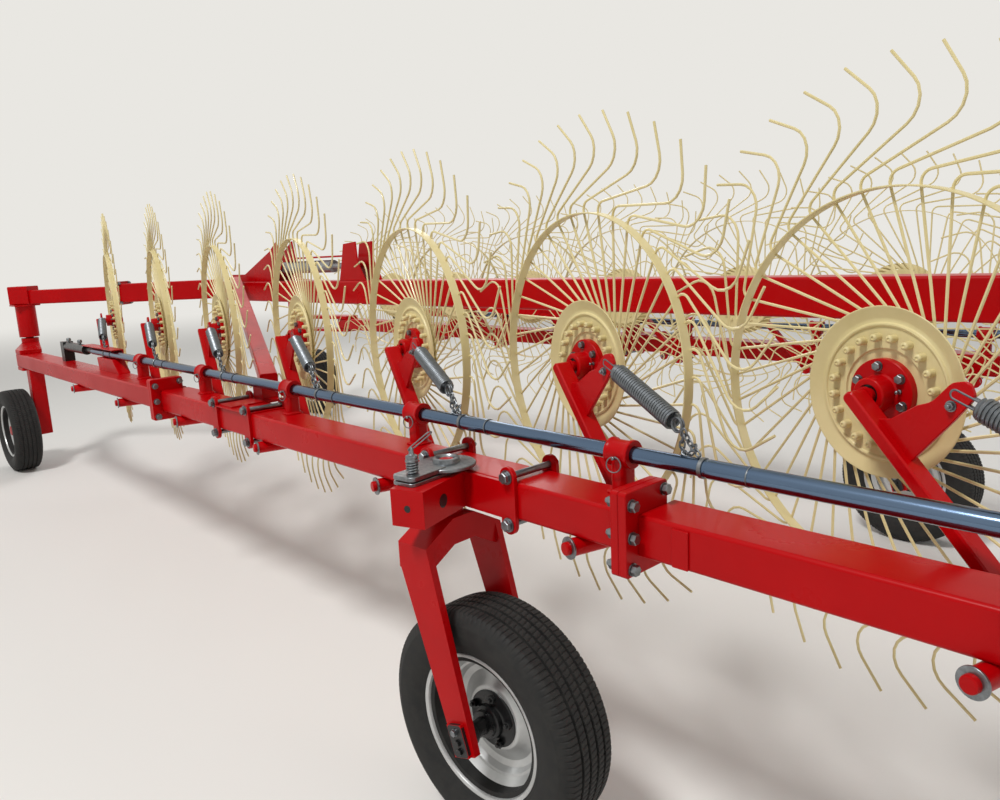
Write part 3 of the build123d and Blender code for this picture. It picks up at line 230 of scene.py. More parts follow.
def arcs(before: Array, corner: Array, after: Array, radius: Array, steps: int) -> Array:
    """Arcs that round corners: the rational curve through the two tangent points, pulled to the corner.

    Args:
        before: the point before each corner.
        corner: the corners.
        after: the point after each corner.
        radius: radius at each corner.
        steps: points on each arc.

    Returns:
        Points of shape (corners, steps, dimensions).
    """
    back, ahead = unit(before - corner), unit(after - corner)
    half_turn = (np.pi - np.arccos(np.clip((back * ahead).sum(-1), -1, 1))) / 2
    cut = (radius * np.tan(half_turn))[:, None]
    first, last = (corner + back * cut)[:, None], (corner + ahead * cut)[:, None]
    t = np.linspace(0, 1, steps)[None, :, None]
    pull = 2 * t * (1 - t) * np.cos(half_turn)[:, None, None]
    total = (1 - t) ** 2 + pull + t**2
    return ((1 - t) ** 2 * first + pull * corner[:, None] + t**2 * last) / total


def rounded(corners: list | Array, radius: float | list, steps: int = 5) -> Array:
    """A closed outline with every corner rounded by an arc.

    Args:
        corners: corner points, counter-clockwise.
        radius: one radius, or one for each corner.
        steps: points on each arc.

    Returns:
        Outline points, (points, 2).
    """
    corner = np.asarray(corners, float)
    radii = np.broadcast_to(np.asarray(radius, float), len(corner))
    return arcs(np.roll(corner, 1, 0), corner, np.roll(corner, -1, 0), radii, steps).reshape(-1, 2)


def bent(corners: list, radius: float | list, steps: int) -> Array:
    """An open path with an arc at each inner corner.

    Args:
        corners: points of the path, in two or three dimensions.
        radius: one radius, or one for each inner corner.
        steps: points on each arc.

    Returns:
        Path points, (points, dimensions).
    """
    corner = np.asarray(corners, float)
    radii = np.broadcast_to(np.asarray(radius, float), len(corner) - 2)
    inner = arcs(corner[:-2], corner[1:-1], corner[2:], radii, steps).reshape(-1, corner.shape[1])
    return np.concatenate([corner[:1], inner, corner[-1:]])


def circle(radius: float, steps: int) -> Array:
    """Points of a circle, counter-clockwise."""
    angle = np.arange(steps) * 2 * np.pi / steps
    return radius * np.stack([np.cos(angle), np.sin(angle)], -1)


def panel(left: float, low: float, right: float, high: float, radius: float | list, steps: int = 5) -> Array:
    """A rectangle between four edges with rounded corners."""
    return rounded([(left, low), (right, low), (right, high), (left, high)], radius, steps)


def oblong(width: float, height: float, radius: float, steps: int = 4) -> Array:
    """A rectangle about the origin with rounded corners."""
    return panel(-width / 2, -height / 2, width / 2, height / 2, radius, steps)


def wire_loop(outline: Array, wire: float, steps: int = 8, lift: float = 0.0) -> Patch:
    """A round wire carried along a closed flat outline at the height of lift."""
    path = np.column_stack([outline, np.full(len(outline), lift)])
    return carried(circle(wire, steps), path, closed=True)


def prism(outline: Array, low: float, high: float, edge: float = 1.0) -> Patch:
    """A plate: rings of the outline from low to high, the outer two drawn in by the edge's bevel.

    Args:
        outline: points (x, y), counter-clockwise.
        low: Z of the lower face.
        high: Z of the upper face.
        edge: width of the bevel round both faces.

    Returns:
        The closed surface.
    """
    coming = unit(outline - np.roll(outline, 1, 0))
    leaving = np.roll(coming, -1, 0)
    inward = (coming + leaving)[:, ::-1] * (-1, 1) / (1 + (coming * leaving).sum(-1, keepdims=True))
    drawn = outline + edge * inward
    rings = ((drawn, low), (outline, low + edge), (outline, high - edge), (drawn, high))
    points = np.stack([np.column_stack([ring, np.full(len(ring), z)]) for ring, z in rings], 1)
    rim = np.arange(len(outline)) * len(rings)
    caps = np.stack([rim[::-1], rim + len(rings) - 1])
    return Patch(points.reshape(-1, 3), [net(len(outline), len(rings), True, False), caps])


def rod(start: Array, end: Array, radius: float, edge: float = 1.0) -> Patch:
    """A round bar with bevelled ends, turned about Z and laid from start to end.

    Args:
        start: middle of one end.
        end: middle of the other end.
        radius: radius of the bar.
        edge: bevel round its ends.

    Returns:
        The surface.
    """
    run = np.asarray(end, float) - np.asarray(start, float)
    length = np.linalg.norm(run)
    rows = [(radius - edge, 0), (radius, edge), (radius, length - edge), (radius - edge, length)]
    return turned(rows, 24).at(start, run, FORWARD)


def bar(start: Spot, end: Spot, width: float, height: float, radius: float) -> Patch:
    """A straight tube of rounded rectangular section, its height upright.

    Args:
        start: middle of one end.
        end: middle of the other end.
        width: level width.
        height: upright height.
        radius: radius of its corners.

    Returns:
        The surface.
    """
    run = np.subtract(end, start)
    section = oblong(width, height, radius)
    return prism(section, 0, np.linalg.norm(run)).at(start, run, np.cross(UP, run))


def weld(path: list | Array, size: float) -> Patch:
    """A weld bead: a rounded profile carried along a seam, swelling with each ripple.

    The swell at arc length s is 1 + 0.12 sin(2 pi s / ripple), with a ripple of 0.9 of the bead's size.

    Args:
        path: corner points of the seam.
        size: half-width of the bead.

    Returns:
        The surface.
    """
    corner = np.asarray(path, float)
    whole = lengths(corner)[-1]
    along = np.linspace(0, whole, max(4, int(whole / (0.45 * size))))
    swell = 1 + 0.12 * np.sin(2 * np.pi * along / (0.9 * size))
    swell[[0, -1]] = 0.4
    return carried(circle(size, 8), on_path(along, corner), swell=swell)


def lengths(path: Array) -> Array:
    """Length along a path at each of its points."""
    return np.concatenate([[0], np.cumsum(np.linalg.norm(np.diff(path, axis=0), axis=1))])


def on_path(along: Array, path: Array) -> Array:
    """Points of a path at given lengths along it."""
    return np.stack([np.interp(along, lengths(path), axis) for axis in path.T], -1)


def joined(*patches: Patch) -> Patch:
    """One surface with the points and faces of several.

    Args:
        patches: the surfaces.

    Returns:
        The surface that holds them all.
    """
    starts = np.cumsum([0] + [len(patch.points) for patch in patches[:-1]])
    faces = [f + start for patch, start in zip(patches, starts) for f in patch.faces]
    sizes = sorted({f.shape[1] for f in faces})
    grouped = [np.concatenate([f for f in faces if f.shape[1] == size]) for size in sizes]
    return Patch(np.concatenate([patch.points for patch in patches]), grouped)


# Finishes


def to_linear(colour: str) -> tuple[float, float, float, float]:
    """Linear red, green, blue and alpha of an sRGB hex colour.

    Args:
        colour: "#rrggbb".

    Returns:
        Four numbers for a colour socket.
    """
    parts = np.array([int(colour[k : k + 2], 16) for k in (1, 3, 5)]) / 255
    linear = np.where(parts <= 0.04045, parts / 12.92, ((parts + 0.055) / 1.055) ** 2.4)
    return (*linear.tolist(), 1.0)


def add_node(tree: bpy.types.NodeTree, kind: str, inputs: dict, **settings: object) -> bpy.types.Node:
    """Add a node with its settings, constant inputs and links.

    Args:
        tree: the node tree.
        kind: the node's type name.
        inputs: input name or number to a constant, or to a socket that feeds it.
        settings: properties of the node.

    Returns:
        The new node.
    """
    node = tree.nodes.new(kind)
    for name, value in settings.items():
        setattr(node, name, value)
    for name, value in inputs.items():
        if isinstance(value, bpy.types.NodeSocket):
            tree.links.new(value, node.inputs[name])
        else:
            node.inputs[name].default_value = value
    return node


@dataclass(frozen=True)
class Finish:
    """A surface finish: two tones that drift into each other, a gloss that varies, and a fine relief."""

    name: str
    slot: str
    colour: str
    second: str
    drift_mm: float
    roughness: Pair
    relief_mm: float
    relief: float
    metallic: float = 0.0
    coat: float = 0.0
    shine: float = 0.5
    stretch: Spot = (1.0, 1.0, 1.0)

    @cache
    def material(self) -> bpy.types.Material:
        """The finish as a material, made once, from noise on object coordinates.

        Returns:
            The material.
        """
        material = bpy.data.materials.new(self.name)
        material.use_nodes = True
        tree = material.node_tree
        shader = tree.nodes["Principled BSDF"]
        spot = add_node(tree, "ShaderNodeTexCoord", {}).outputs["Object"]
        spot = add_node(tree, "ShaderNodeMapping", {"Vector": spot, "Scale": self.stretch}).outputs["Vector"]
        drift = {"Vector": spot, "Scale": 1 / (self.drift_mm * MM), "Detail": 5.0, "Roughness": 0.6}
        drift = add_node(tree, "ShaderNodeTexNoise", drift).outputs["Fac"]
        tone = {"Value": drift, "From Min": 0.35, "From Max": 0.7}
        tone = add_node(tree, "ShaderNodeMapRange", tone).outputs["Result"]
        tones = {0: tone, 6: to_linear(self.colour), 7: to_linear(self.second)}
        low, high = self.roughness
        gloss = {"Value": drift, "From Min": 0.3, "From Max": 0.7, "To Min": low, "To Max": high}
        fine = {"Vector": spot, "Scale": 1 / (self.relief_mm * MM), "Detail": 3.0}
        fine = add_node(tree, "ShaderNodeTexNoise", fine).outputs["Fac"]
        bump = {"Height": fine, "Strength": self.relief, "Distance": self.relief_mm * MM * 0.3}
        feeds = {
            "Base Color": add_node(tree, "ShaderNodeMix", tones, data_type="RGBA").outputs[2],
            "Roughness": add_node(tree, "ShaderNodeMapRange", gloss).outputs["Result"],
            "Normal": add_node(tree, "ShaderNodeBump", bump).outputs["Normal"],
        }
        for name, socket in feeds.items():
            tree.links.new(socket, shader.inputs[name])
        shader.inputs["Metallic"].default_value = self.metallic
        shader.inputs["Specular IOR Level"].default_value = self.shine
        shader.inputs["Coat Weight"].default_value = self.coat
        shader.inputs["Coat Roughness"].default_value = 0.06
        return material


# Two-coat alkyd enamel, sprayed: deep glossy red with a faint orange-peel ripple
RED = Finish(
    "red_sprayed_enamel", "red_enamel", "#b80107", "#a80106", 420, (0.24, 0.36), 4, 0.02,
    coat=0.05, shine=0.12,
)
# The same enamel in cream over pressed sheet and spring wire
CREAM = Finish(
    "cream_sprayed_enamel", "wheel_enamel", "#decf9c", "#cfc08a", 180, (0.34, 0.48), 3, 0.03,
    coat=0.1, shine=0.35,
)
# Electroplated zinc: dull grey metal with soft cloudy patches
ZINC = Finish("zinc_plating", "zinc", "#8b8f92", "#6e7174", 14, (0.30, 0.46), 1.2, 0.15, 1.0)
# Spring wire under zinc: darker, with a greasy half gloss
WIRE = Finish("zinc_spring_wire", "zinc", "#7c8084", "#676b6f", 10, (0.36, 0.50), 0.8, 0.10, 1.0)
# Cold-drawn zinc bar: drawn lines run along it; its grey is the zinc's own and its blue tint a painted
# reflection of the sky
DRAWN = Finish(
    "drawn_zinc_bar", "bright_steel", "#667a93", "#51637b", 60, (0.14, 0.26), 6, 0.10, 1.0,
    stretch=(0.06, 1.0, 1.0),
)
# Moulded tyre rubber: dull black with grey road dust
RUBBER = Finish("moulded_tyre_rubber", "tyre", "#1c1c1c", "#2f2e2c", 35, (0.60, 0.82), 1.5, 0.25, shine=0.3)
# Aluminium-flake enamel on pressed wheels
SILVER = Finish(
    "silver_flake_enamel", "silver_enamel", "#c6c7c6", "#b0b1b0", 90, (0.30, 0.42), 1.5, 0.08, 0.55, coat=0.3
)
# Black enamel on hubs, cylinders and axle ends
BLACK = Finish(
    "black_enamel", "black_enamel", "#101011", "#1a1a1b", 60, (0.25, 0.42), 3, 0.10, coat=0.2, shine=0.3
)
# Grey machinery enamel
GREY = Finish("grey_enamel", "grey_enamel", "#8c9091", "#7c8082", 120, (0.35, 0.5), 3, 0.10, coat=0.2)


# Pieces


@dataclass
class Piece:
    """One piece of the model: a surface for each finish, joined in one mesh that rides on a body.

    Where its name holds {}, it is made for both sides, and the side's word goes into its names.
    """

    name: str
    body: str
    skins: dict[Finish, Patch]
    replaced: str = ""

    def make(self, side: Side) -> None:
        """Write the surfaces to a mesh.

        Args:
            side: the left side gets the mirror image.
        """
        name, body, replaced = (text.format(side.value) for text in (self.name, self.body, self.replaced))
        finishes = list(self.skins)
        patches = [patch.mirrored() if side is Side.LEFT else patch for patch in self.skins.values()]
        corners, sizes, slots, start = [], [], [], 0
        for index, patch in enumerate(patches):
            for faces in patch.faces:
                corners.append((faces + start).ravel())
                sizes.append(np.full(len(faces), faces.shape[1]))
                slots.append(np.full(len(faces), index))
            start += len(patch.points)
        corner, size = np.concatenate(corners), np.concatenate(sizes)
        mesh = bpy.data.meshes.new(name)
        mesh.vertices.add(start)
        mesh.vertices.foreach_set("co", np.concatenate([patch.points * MM for patch in patches]).ravel())
        mesh.loops.add(len(corner))
        mesh.loops.foreach_set("vertex_index", corner)
        mesh.polygons.add(len(size))
        mesh.polygons.foreach_set("loop_start", np.cumsum(size) - size)
        mesh.polygons.foreach_set("loop_total", size)
        mesh.polygons.foreach_set("material_index", np.concatenate(slots))
        mesh.polygons.foreach_set("use_smooth", np.ones(len(size), bool))
        mesh.update(calc_edges=True)
        mesh.set_sharp_from_angle(angle=SHARP)
        for finish in finishes:
            mesh.materials.append(finish.material())
        settle(bpy.data.objects.new(name, mesh), body, replaced)


def settle(piece: bpy.types.Object, body: str, replaced: str) -> None:
    """Link a piece, let its large faces keep their own normals, and tie it to the frame.

    Args:
        piece: the piece.
        body: body that carries it.
        replaced: node that the piece stands for, or nothing.
    """
    bpy.context.scene.collection.objects.link(piece)
    piece.modifiers.new("even_normals", "WEIGHTED_NORMAL").keep_sharp = True
    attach(piece, body)
    if replaced:
        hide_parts(replaced)
    log.info("%s: %d faces on %s", piece.name, len(piece.data.polygons), body)


@dataclass
class DressedSolid:
    """A copy of a node's solid with rounded edges, for both sides where its name holds {}."""

    name: str
    body: str
    finish: Finish
    edge: float

    def make(self, side: Side) -> None:
        """Replace the node by the copy.

        Args:
            side: the side whose node is dressed.
        """
        node = self.name.format(side.value)
        copy = bpy.data.objects.new(f"{node}_dressed", frame["nodes"][node].data.copy())
        shape = bmesh.new()
        shape.from_mesh(copy.data)
        bmesh.ops.remove_doubles(shape, verts=shape.verts, dist=SAME_SPOT)
        bmesh.ops.dissolve_limit(shape, angle_limit=FLAT, verts=shape.verts, edges=shape.edges)
        shape.to_mesh(copy.data)
        shape.free()
        copy.data.polygons.foreach_set("use_smooth", np.ones(len(copy.data.polygons), bool))
        copy.data.set_sharp_from_angle(angle=SOLID_SHARP)
        copy.data.materials.clear()
        copy.data.materials.append(self.finish.material())
        rounding = copy.modifiers.new("rounded_edges", "BEVEL")
        rounding.width, rounding.segments = self.edge * MM, 3
        rounding.limit_method, rounding.angle_limit = "ANGLE", BEVELLED
        rounding.use_clamp_overlap, rounding.harden_normals = True, False
        settle(copy, self.body.format(side.value), node)


def wheel_place(number: int) -> Array:
    """Place of a right-hand raking wheel: local X forward, Y up, Z out along its joint's axis."""
    joint = JOINTS[f"rake_right_{number}_turn"]
    return places(np.array(joint["pos_m"]) / MM, joint["axis"], FORWARD)[0]


def bolt_head(across: float, height: float, washer: float) -> Patch:
    """A hexagon head on a washer, standing on Z = 0: circumradius is across / sqrt 3.

    Args:
        across: size across flats.
        height: height of the head above the washer.
        washer: radius of the washer.

    Returns:
        The surface.
    """
    thick = 0.14 * across
    plate = turned([(across / 4, 0), (washer, 0), (washer, thick), (across / 4, thick)], 20)
    return joined(plate, prism(circle(across / np.sqrt(3), 6), thick, thick + height, 0.07 * across))


def nut_on_thread(across: float, height: float, washer: float) -> Patch:
    """A nut on its washer with the thread's end standing out of it.

    Args:
        across: size across flats.
        height: height of the nut.
        washer: radius of the washer.

    Returns:
        The surface.
    """
    tip = height + 0.5 * across
    thread = turned([(0.3 * across, height), (0.3 * across, tip - 1), (0.24 * across, tip)], 12)
    return joined(bolt_head(across, height, washer), thread)


# Sub-assemblies


class Assembly:
    """A sub-assembly of pieces that are alike on both sides."""

    def pieces(self) -> list[Piece | DressedSolid]:
        """The right-hand pieces and the single ones, in order."""
        raise NotImplementedError

    def build(self) -> None:
        """Make the right-hand and single pieces, then the left-hand ones."""
        pieces = self.pieces()
        for side in Side:
            for piece in pieces:
                if side is Side.RIGHT or "{}" in piece.name:
                    piece.make(side)


@dataclass
class RakingWheel(Assembly):
    """A raking wheel about its own axis: dish, hoop and tines in cream, hub in red."""

    tines: int = 40
    wire: float = 3.5
    tine_plane: float = -16.5
    tine_circle: float = 124.0
    root: float = 60.0
    corner_radius: float = 458.0
    middle_length: float = 282.6
    middle_angle: float = -2.0
    tip_length: float = 146.7
    tip_angle: float = 95.0
    bends: Pair = (25.0, 59.0)
    hoop_radius: float = 433.0
    hoop_span: Pair = (-20.0, 8.5)
    hoop_wall: float = 4.0
    rivets: int = 20
    rivet_circle: float = 119.0
    rivet_first: float = 8.5
    floor: float = -9.0
    recess: float = -15.0
    flange: float = 74.0
    flange_bolts: float = 58.0
    barrel: float = 37.5
    barrel_front: float = 45.0
    barrel_back: float = -58.0

    def tine_set(self) -> Patch:
        """Tines: a circle carried along a line with two bends, repeated round the axis.

        Returns:
            The surface.
        """
        start = np.array([self.tine_circle, self.root])
        first = np.array([self.tine_circle, np.sqrt(self.corner_radius**2 - self.tine_circle**2)])
        middle, tip = np.radians(self.middle_angle), np.radians(self.tip_angle)
        second = first + self.middle_length * np.array([np.cos(middle), np.sin(middle)])
        end = second + self.tip_length * np.array([np.cos(tip), np.sin(tip)])
        flat = bent([start, first, second, end], list(self.bends), 6)
        path = np.column_stack([flat, np.full(len(flat), self.tine_plane)])
        return carried(circle(self.wire, 6), path).laid(around(self.tines))

    def hoop(self) -> Patch:
        """Hoop: a flat band's section turned about the axis, with the tines through its inboard edge.

        Returns:
            The surface.
        """
        low, high = self.hoop_span
        section = oblong(self.hoop_wall, high - low, 1.4, 3)
        return turned(section + (self.hoop_radius - self.hoop_wall / 2, (low + high) / 2), 120, True)

    def dish(self) -> Patch:
        """Pressed dish: a section of recess, floor, bead, cone and rolled lip turned about the axis.

        Returns:
            The surface.
        """
        f, r = self.floor, self.recess
        rows = [(56, r - 3), (97, r - 3), (101, f - 4), (159, f - 4), (163, f - 3), (184.5, -3.2)]
        rows += [(186.6, -2.0), (187, -0.4), (186, 0.6), (184, 0.6), (182.5, -0.4), (161.5, f + 0.8)]
        rows += [(157, f), (152.5, f), (151, f + 1), (149.5, f + 3.8), (146.5, f + 5), (143.5, f + 3.8)]
        rows += [(142, f + 1), (140.5, f), (97, f), (95, f - 0.9), (93, r + 0.8), (91, r), (56, r)]
        return turned(rows, 80, True)

    def back_plate(self) -> Patch:
        """Plate that clamps the tines' roots from behind, turned about the axis.

        Returns:
            The surface.
        """
        top = self.tine_plane - self.wire
        rows = [(40, top - 6), (96, top - 6), (104, top - 4.5), (158, top - 4.5), (160, top - 3)]
        return turned(rows + [(160, top - 1), (158, top), (40, top)], 64, True)

    def rivet_ring(self) -> Patch:
        """Tall cap bolts round the dish with a dimple in each head, and their nuts on the back plate.

        Returns:
            The surface.
        """
        f = self.floor
        head = [(9, f), (9, 7.5), (8.2, 10), (6.2, 11.8), (3.6, 12.4), (2.8, 10.6)]
        back = self.tine_plane - self.wire - 4.5
        both = joined(turned(head, 12), prism(circle(9.5, 6), back - 9, back + 1, 0.8))
        return both.laid(around(self.rivets, self.rivet_circle, 0, self.rivet_first))

    def hub(self) -> dict[Finish, Patch]:
        """Hub: flange, barrel and bearing cap, then its bolts, then a black ring painted as the shade in the
        gap round the axle.

        Returns:
            The surface in each finish.
        """
        f, b, z, back = self.flange, self.barrel, self.barrel_front, self.barrel_back
        flange = turned([(30, self.recess), (f, self.recess), (f, 1.5), (f - 1.5, 3), (30, 3)], 56)
        rows = [(30, 0), (b + 5, 0), (b + 5, 3.5), (b + 1, 6), (b, 9), (b, z - 4), (b - 2, z - 1), (b - 5, z)]
        barrel = turned(rows + [(24, z), (23, z - 1), (23, z - 7)], 40)
        rows = [(3, back), (20, back + 1.5), (31, back + 5), (b - 1, back + 11), (b, back + 14), (b, -20)]
        collar = turned([(b - 2, -30), (b + 4, -30), (b + 6, -27), (b + 6, -20)], 40)
        bolts = bolt_head(17, 9, 11).laid(around(6, self.flange_bolts, 3, 37))
        rear = around(6, self.flange_bolts, self.tine_plane - self.wire - 6, 37)
        nuts = nut_on_thread(17, 9, 12).laid(rear @ np.diag([1, -1, -1, 1]))
        nipple = turned([(5, 3), (5, 7), (3, 8), (3, 13), (4, 14), (4, 17), (2, 19)], 12)
        nipple = nipple.laid(around(1, 47, 0, 10))
        # a black ring in the barrel's mouth, painted as the shade in the gap round the axle
        painted_gap_shade = turned([(15.8, z - 6.5), (23.2, z - 6.5), (23.2, z - 6), (15.8, z - 6)], 32, True)
        red = joined(flange, barrel, turned(rows, 40), collar)
        return {RED: red, ZINC: joined(bolts, nuts, nipple), BLACK: painted_gap_shade}

    def pieces(self) -> list[Piece]:
        """Every raking wheel: its tined wheel, then its hub.

        Returns:
            The pieces.
        """
        cream = joined(self.tine_set(), self.hoop(), self.dish(), self.back_plate(), self.rivet_ring())
        hub, pieces = self.hub(), []
        for number in WHEELS:
            place, node = wheel_place(number), f"rake_wheel_{{}}_{number}"
            pieces.append(Piece(f"tined_wheel_{{}}_{number}", node, {CREAM: cream.laid(place)}, node))
            skins = {finish: patch.laid(place) for finish, patch in hub.items()}
            pieces.append(Piece(f"wheel_hub_{{}}_{number}", node, skins))
        return pieces


@dataclass
class Cranks(Assembly):
    """Sprung cranks: axle, arm, spring lug and pivot tube, about each wheel's axis."""

    back: float = 55.0
    width: float = 50.0
    thickness: float = 28.0
    axle: float = 15.0
    pivot_radius: float = 23.0
    pivot_end: float = 294.0
    pivot_up: float = -390.3
    pivot_forward: float = 335.0
    first_forward: float = 400.0
    cap_radius: float = 17.0
    lug_thickness: float = 10.0
    keeper_spot: Pair = (207.0, 13.0)

    def arm(self, pivot: Array) -> Patch:
        """Arm: a bar with round ends from the axle to the pivot, its axle, pivot tube and collars.

        Args:
            pivot: the pivot in the wheel's plane.

        Returns:
            The surface.
        """
        b, w, half = self.back, self.width, self.thickness / 2
        along = unit(pivot) * half
        cross = np.array([-along[1], along[0]])
        ends = [-along - cross, pivot - cross, pivot + cross, cross - along]
        shaped = prism(rounded(ends, [11, 6, 6, 11], 6), b, b + w, 3.5)
        a, p, c, end = self.axle, self.pivot_radius, self.cap_radius, self.pivot_end
        axle = turned([(a, -20), (a, b - 7), (a + 5, b - 2), (a + 5, b + 2)], 28)
        tube = turned([(p, b - 4), (p, end - 1), (p - 1, end)], 32)
        collar = turned([(p, b + w), (p + 5, b + w), (p + 3, b + w + 5), (p, b + w + 8)], 32)
        cap = turned([(c, end + 4), (c, end + 13), (c - 1, end + 16), (c - 5, end + 18)], 28)
        return joined(shaped, axle, joined(tube, collar, cap).at((*pivot, 0)))

    def lug(self) -> Patch:
        """Spring lug: a plate that leaves the arm and turns up round the hook's hole, with its weld.

        Returns:
            The surface.
        """
        corners = [(28, -40), (118, -128), (216, -12), (251, 34), (238, 64), (205, 57), (168, 15)]
        outline = rounded([*corners, (138, 4), (83, -32)], [6, 12, 40, 16, 16, 22, 50, 40, 20], 6)
        middle, half = self.back + self.width / 2, self.lug_thickness / 2
        seam = weld([(34, -44, middle + 6), (114, -124, middle + 6)], 4.5)
        return joined(prism(outline, middle - half, middle + half, 1.5), seam)

    def fastenings(self, pivot: Array) -> Patch:
        """Washer on the pivot's end, and the keeper bolt on the lug.

        Args:
            pivot: the pivot in the wheel's plane.

        Returns:
            The surface.
        """
        end = self.pivot_end
        rows = [(8, end), (28.5, end), (29, end + 0.6), (29, end + 4.4), (28.5, end + 5), (8, end + 5)]
        top = self.back + self.width / 2 + self.lug_thickness / 2
        keeper = nut_on_thread(15, 7, 11).at((*self.keeper_spot, top))
        under = bolt_head(15, 7, 11).at((*self.keeper_spot, top - self.lug_thickness), -UP)
        return joined(turned(rows, 32).at((*pivot, 0)), keeper, under)

    def pieces(self) -> list[Piece]:
        """The cranks of an arm.

        Returns:
            The pieces.
        """
        red, plated = [], []
        for number in WHEELS:
            place = wheel_place(number)
            pivot = np.array([self.first_forward if number == 1 else self.pivot_forward, self.pivot_up])
            red.append(joined(self.arm(pivot), self.lug()).laid(place))
            plated.append(self.fastenings(pivot).laid(place))
        skins = {RED: joined(*red), ZINC: joined(*plated)}
        return [Piece("cranks_{}", "arm_{}", skins, "crank_arms_{}")]


@dataclass
class FloatSprings(Assembly):
    """Float springs: a close coil with its hooks, and the chain down to the ring on the lift shaft."""

    lug_spot: Spot = (215.0, 35.0, 80.0)
    foot: Spot = (475.0, -220.0, -80.0)
    shaft_ring: Spot = (539.0, -235.0, -138.0)
    coil_radius: float = 21.0
    wire: float = 4.1
    hook_wire: float = 3.0
    ring: float = 17.0
    coil_length: float = 248.0
    turns: int = 29
    hook_half: float = 9.0
    stem: float = 22.0
    rings_apart: float = 3.2
    link_length: float = 20.0
    link_width: float = 12.0
    link_wire: float = 2.4

    def coil(self, start: Array, end: Array) -> Patch:
        """Helix: the point at turn t is the axis point plus radius (cos 2 pi t, sin 2 pi t).

        Args:
            start: top of the coil on its axis.
            end: foot of the coil on its axis.

        Returns:
            The wire's surface.
        """
        turn = np.linspace(0, self.turns, self.turns * 14 + 1)
        rise = turn / self.turns * np.linalg.norm(end - start)
        radius = self.coil_radius * np.minimum(1, 0.86 + 0.14 * np.minimum(turn, 2 * (self.turns - turn)))
        path = np.column_stack([radius * np.cos(2 * np.pi * turn), radius * np.sin(2 * np.pi * turn), rise])
        return carried(circle(self.wire, 6), path).at(start, end - start, UP)

    def hook(self, start: Array, end: Array, upright: Array) -> Patch:
        """Hook: two wires side by side round a long loop between two points.

        Args:
            start: middle of the loop's first end.
            end: middle of its other end.
            upright: direction across the loop's plane.

        Returns:
            The surface.
        """
        half = self.hook_half
        loop = panel(-half, -half, np.linalg.norm(end - start) + half, half, half - 0.1, 7)
        wires = (wire_loop(loop, self.hook_wire, lift=way * self.hook_wire) for way in (-1, 1))
        return joined(*wires).at(start, upright, end - start)

    def chain(self, path: Array, first: float = 0.0) -> Patch:
        """Chain: a long link repeated along a path, each turned a quarter from the last.

        Args:
            path: points of the chain's line.
            first: turn of the first link in degrees.

        Returns:
            The surface.
        """
        outline = oblong(self.link_length, self.link_width, self.link_width / 2 - 0.1)
        link = wire_loop(outline, self.link_wire, 6)
        whole = lengths(path)[-1]
        count = max(2, int(whole / (self.link_length - 2.2 * self.link_wire)))
        middle = (np.arange(count) + 0.5) * whole / count
        spot = on_path(middle, path)
        ahead = on_path(middle + 1, path) - spot
        ahead[-1] = ahead[-2]
        quarter = (np.radians(first) + np.arange(count) % 2 * np.pi / 2)[:, None]
        level = unit(np.cross(ahead, UP))
        outward = np.cos(quarter) * level + np.sin(quarter) * np.cross(level, unit(ahead))
        return link.at(spot, outward, ahead)

    def one(self, number: int) -> Patch:
        """One spring with its hooks and chain.

        Args:
            number: the wheel's number from the front.

        Returns:
            The surface.
        """
        place = wheel_place(number)
        hub, outward = place[:3, 3], place[:3, 2]
        lug = place[:3, :3] @ np.array(self.lug_spot) + hub
        foot, ring = hub + self.foot, hub + self.shaft_ring
        run = unit(foot - lug)
        coil_top, coil_foot = foot - run * (self.coil_length + self.stem), foot - run * self.stem
        top = self.hook(lug - run * 2, coil_top + run * 6, outward)
        turn = coil_foot + run * (self.ring - 1)
        rings = turned(circle(self.hook_wire, 8) + (self.ring, 0), 32, True)
        rings = rings.at([turn + outward * way * self.rings_apart for way in (-1, 1)], outward, run)
        down = bent([turn + run * (self.ring + 3), (foot + ring) / 2 + UP * -4, ring], 60, 6)
        slack = [foot + run * 18, foot + (6, 0, -58), foot + (30, 4, -72), foot + (38, 4, -40)]
        chains = joined(self.chain(down), self.chain(bent(slack, [18, 14], 6), 45))
        return joined(self.coil(coil_top, coil_foot), top, rings, chains)

    def pieces(self) -> list[Piece]:
        """The springs of an arm."""
        springs = joined(*(self.one(number) for number in WHEELS))
        return [Piece("springs_{}", "arm_{}", {WIRE: springs}, "float_springs_{}")]


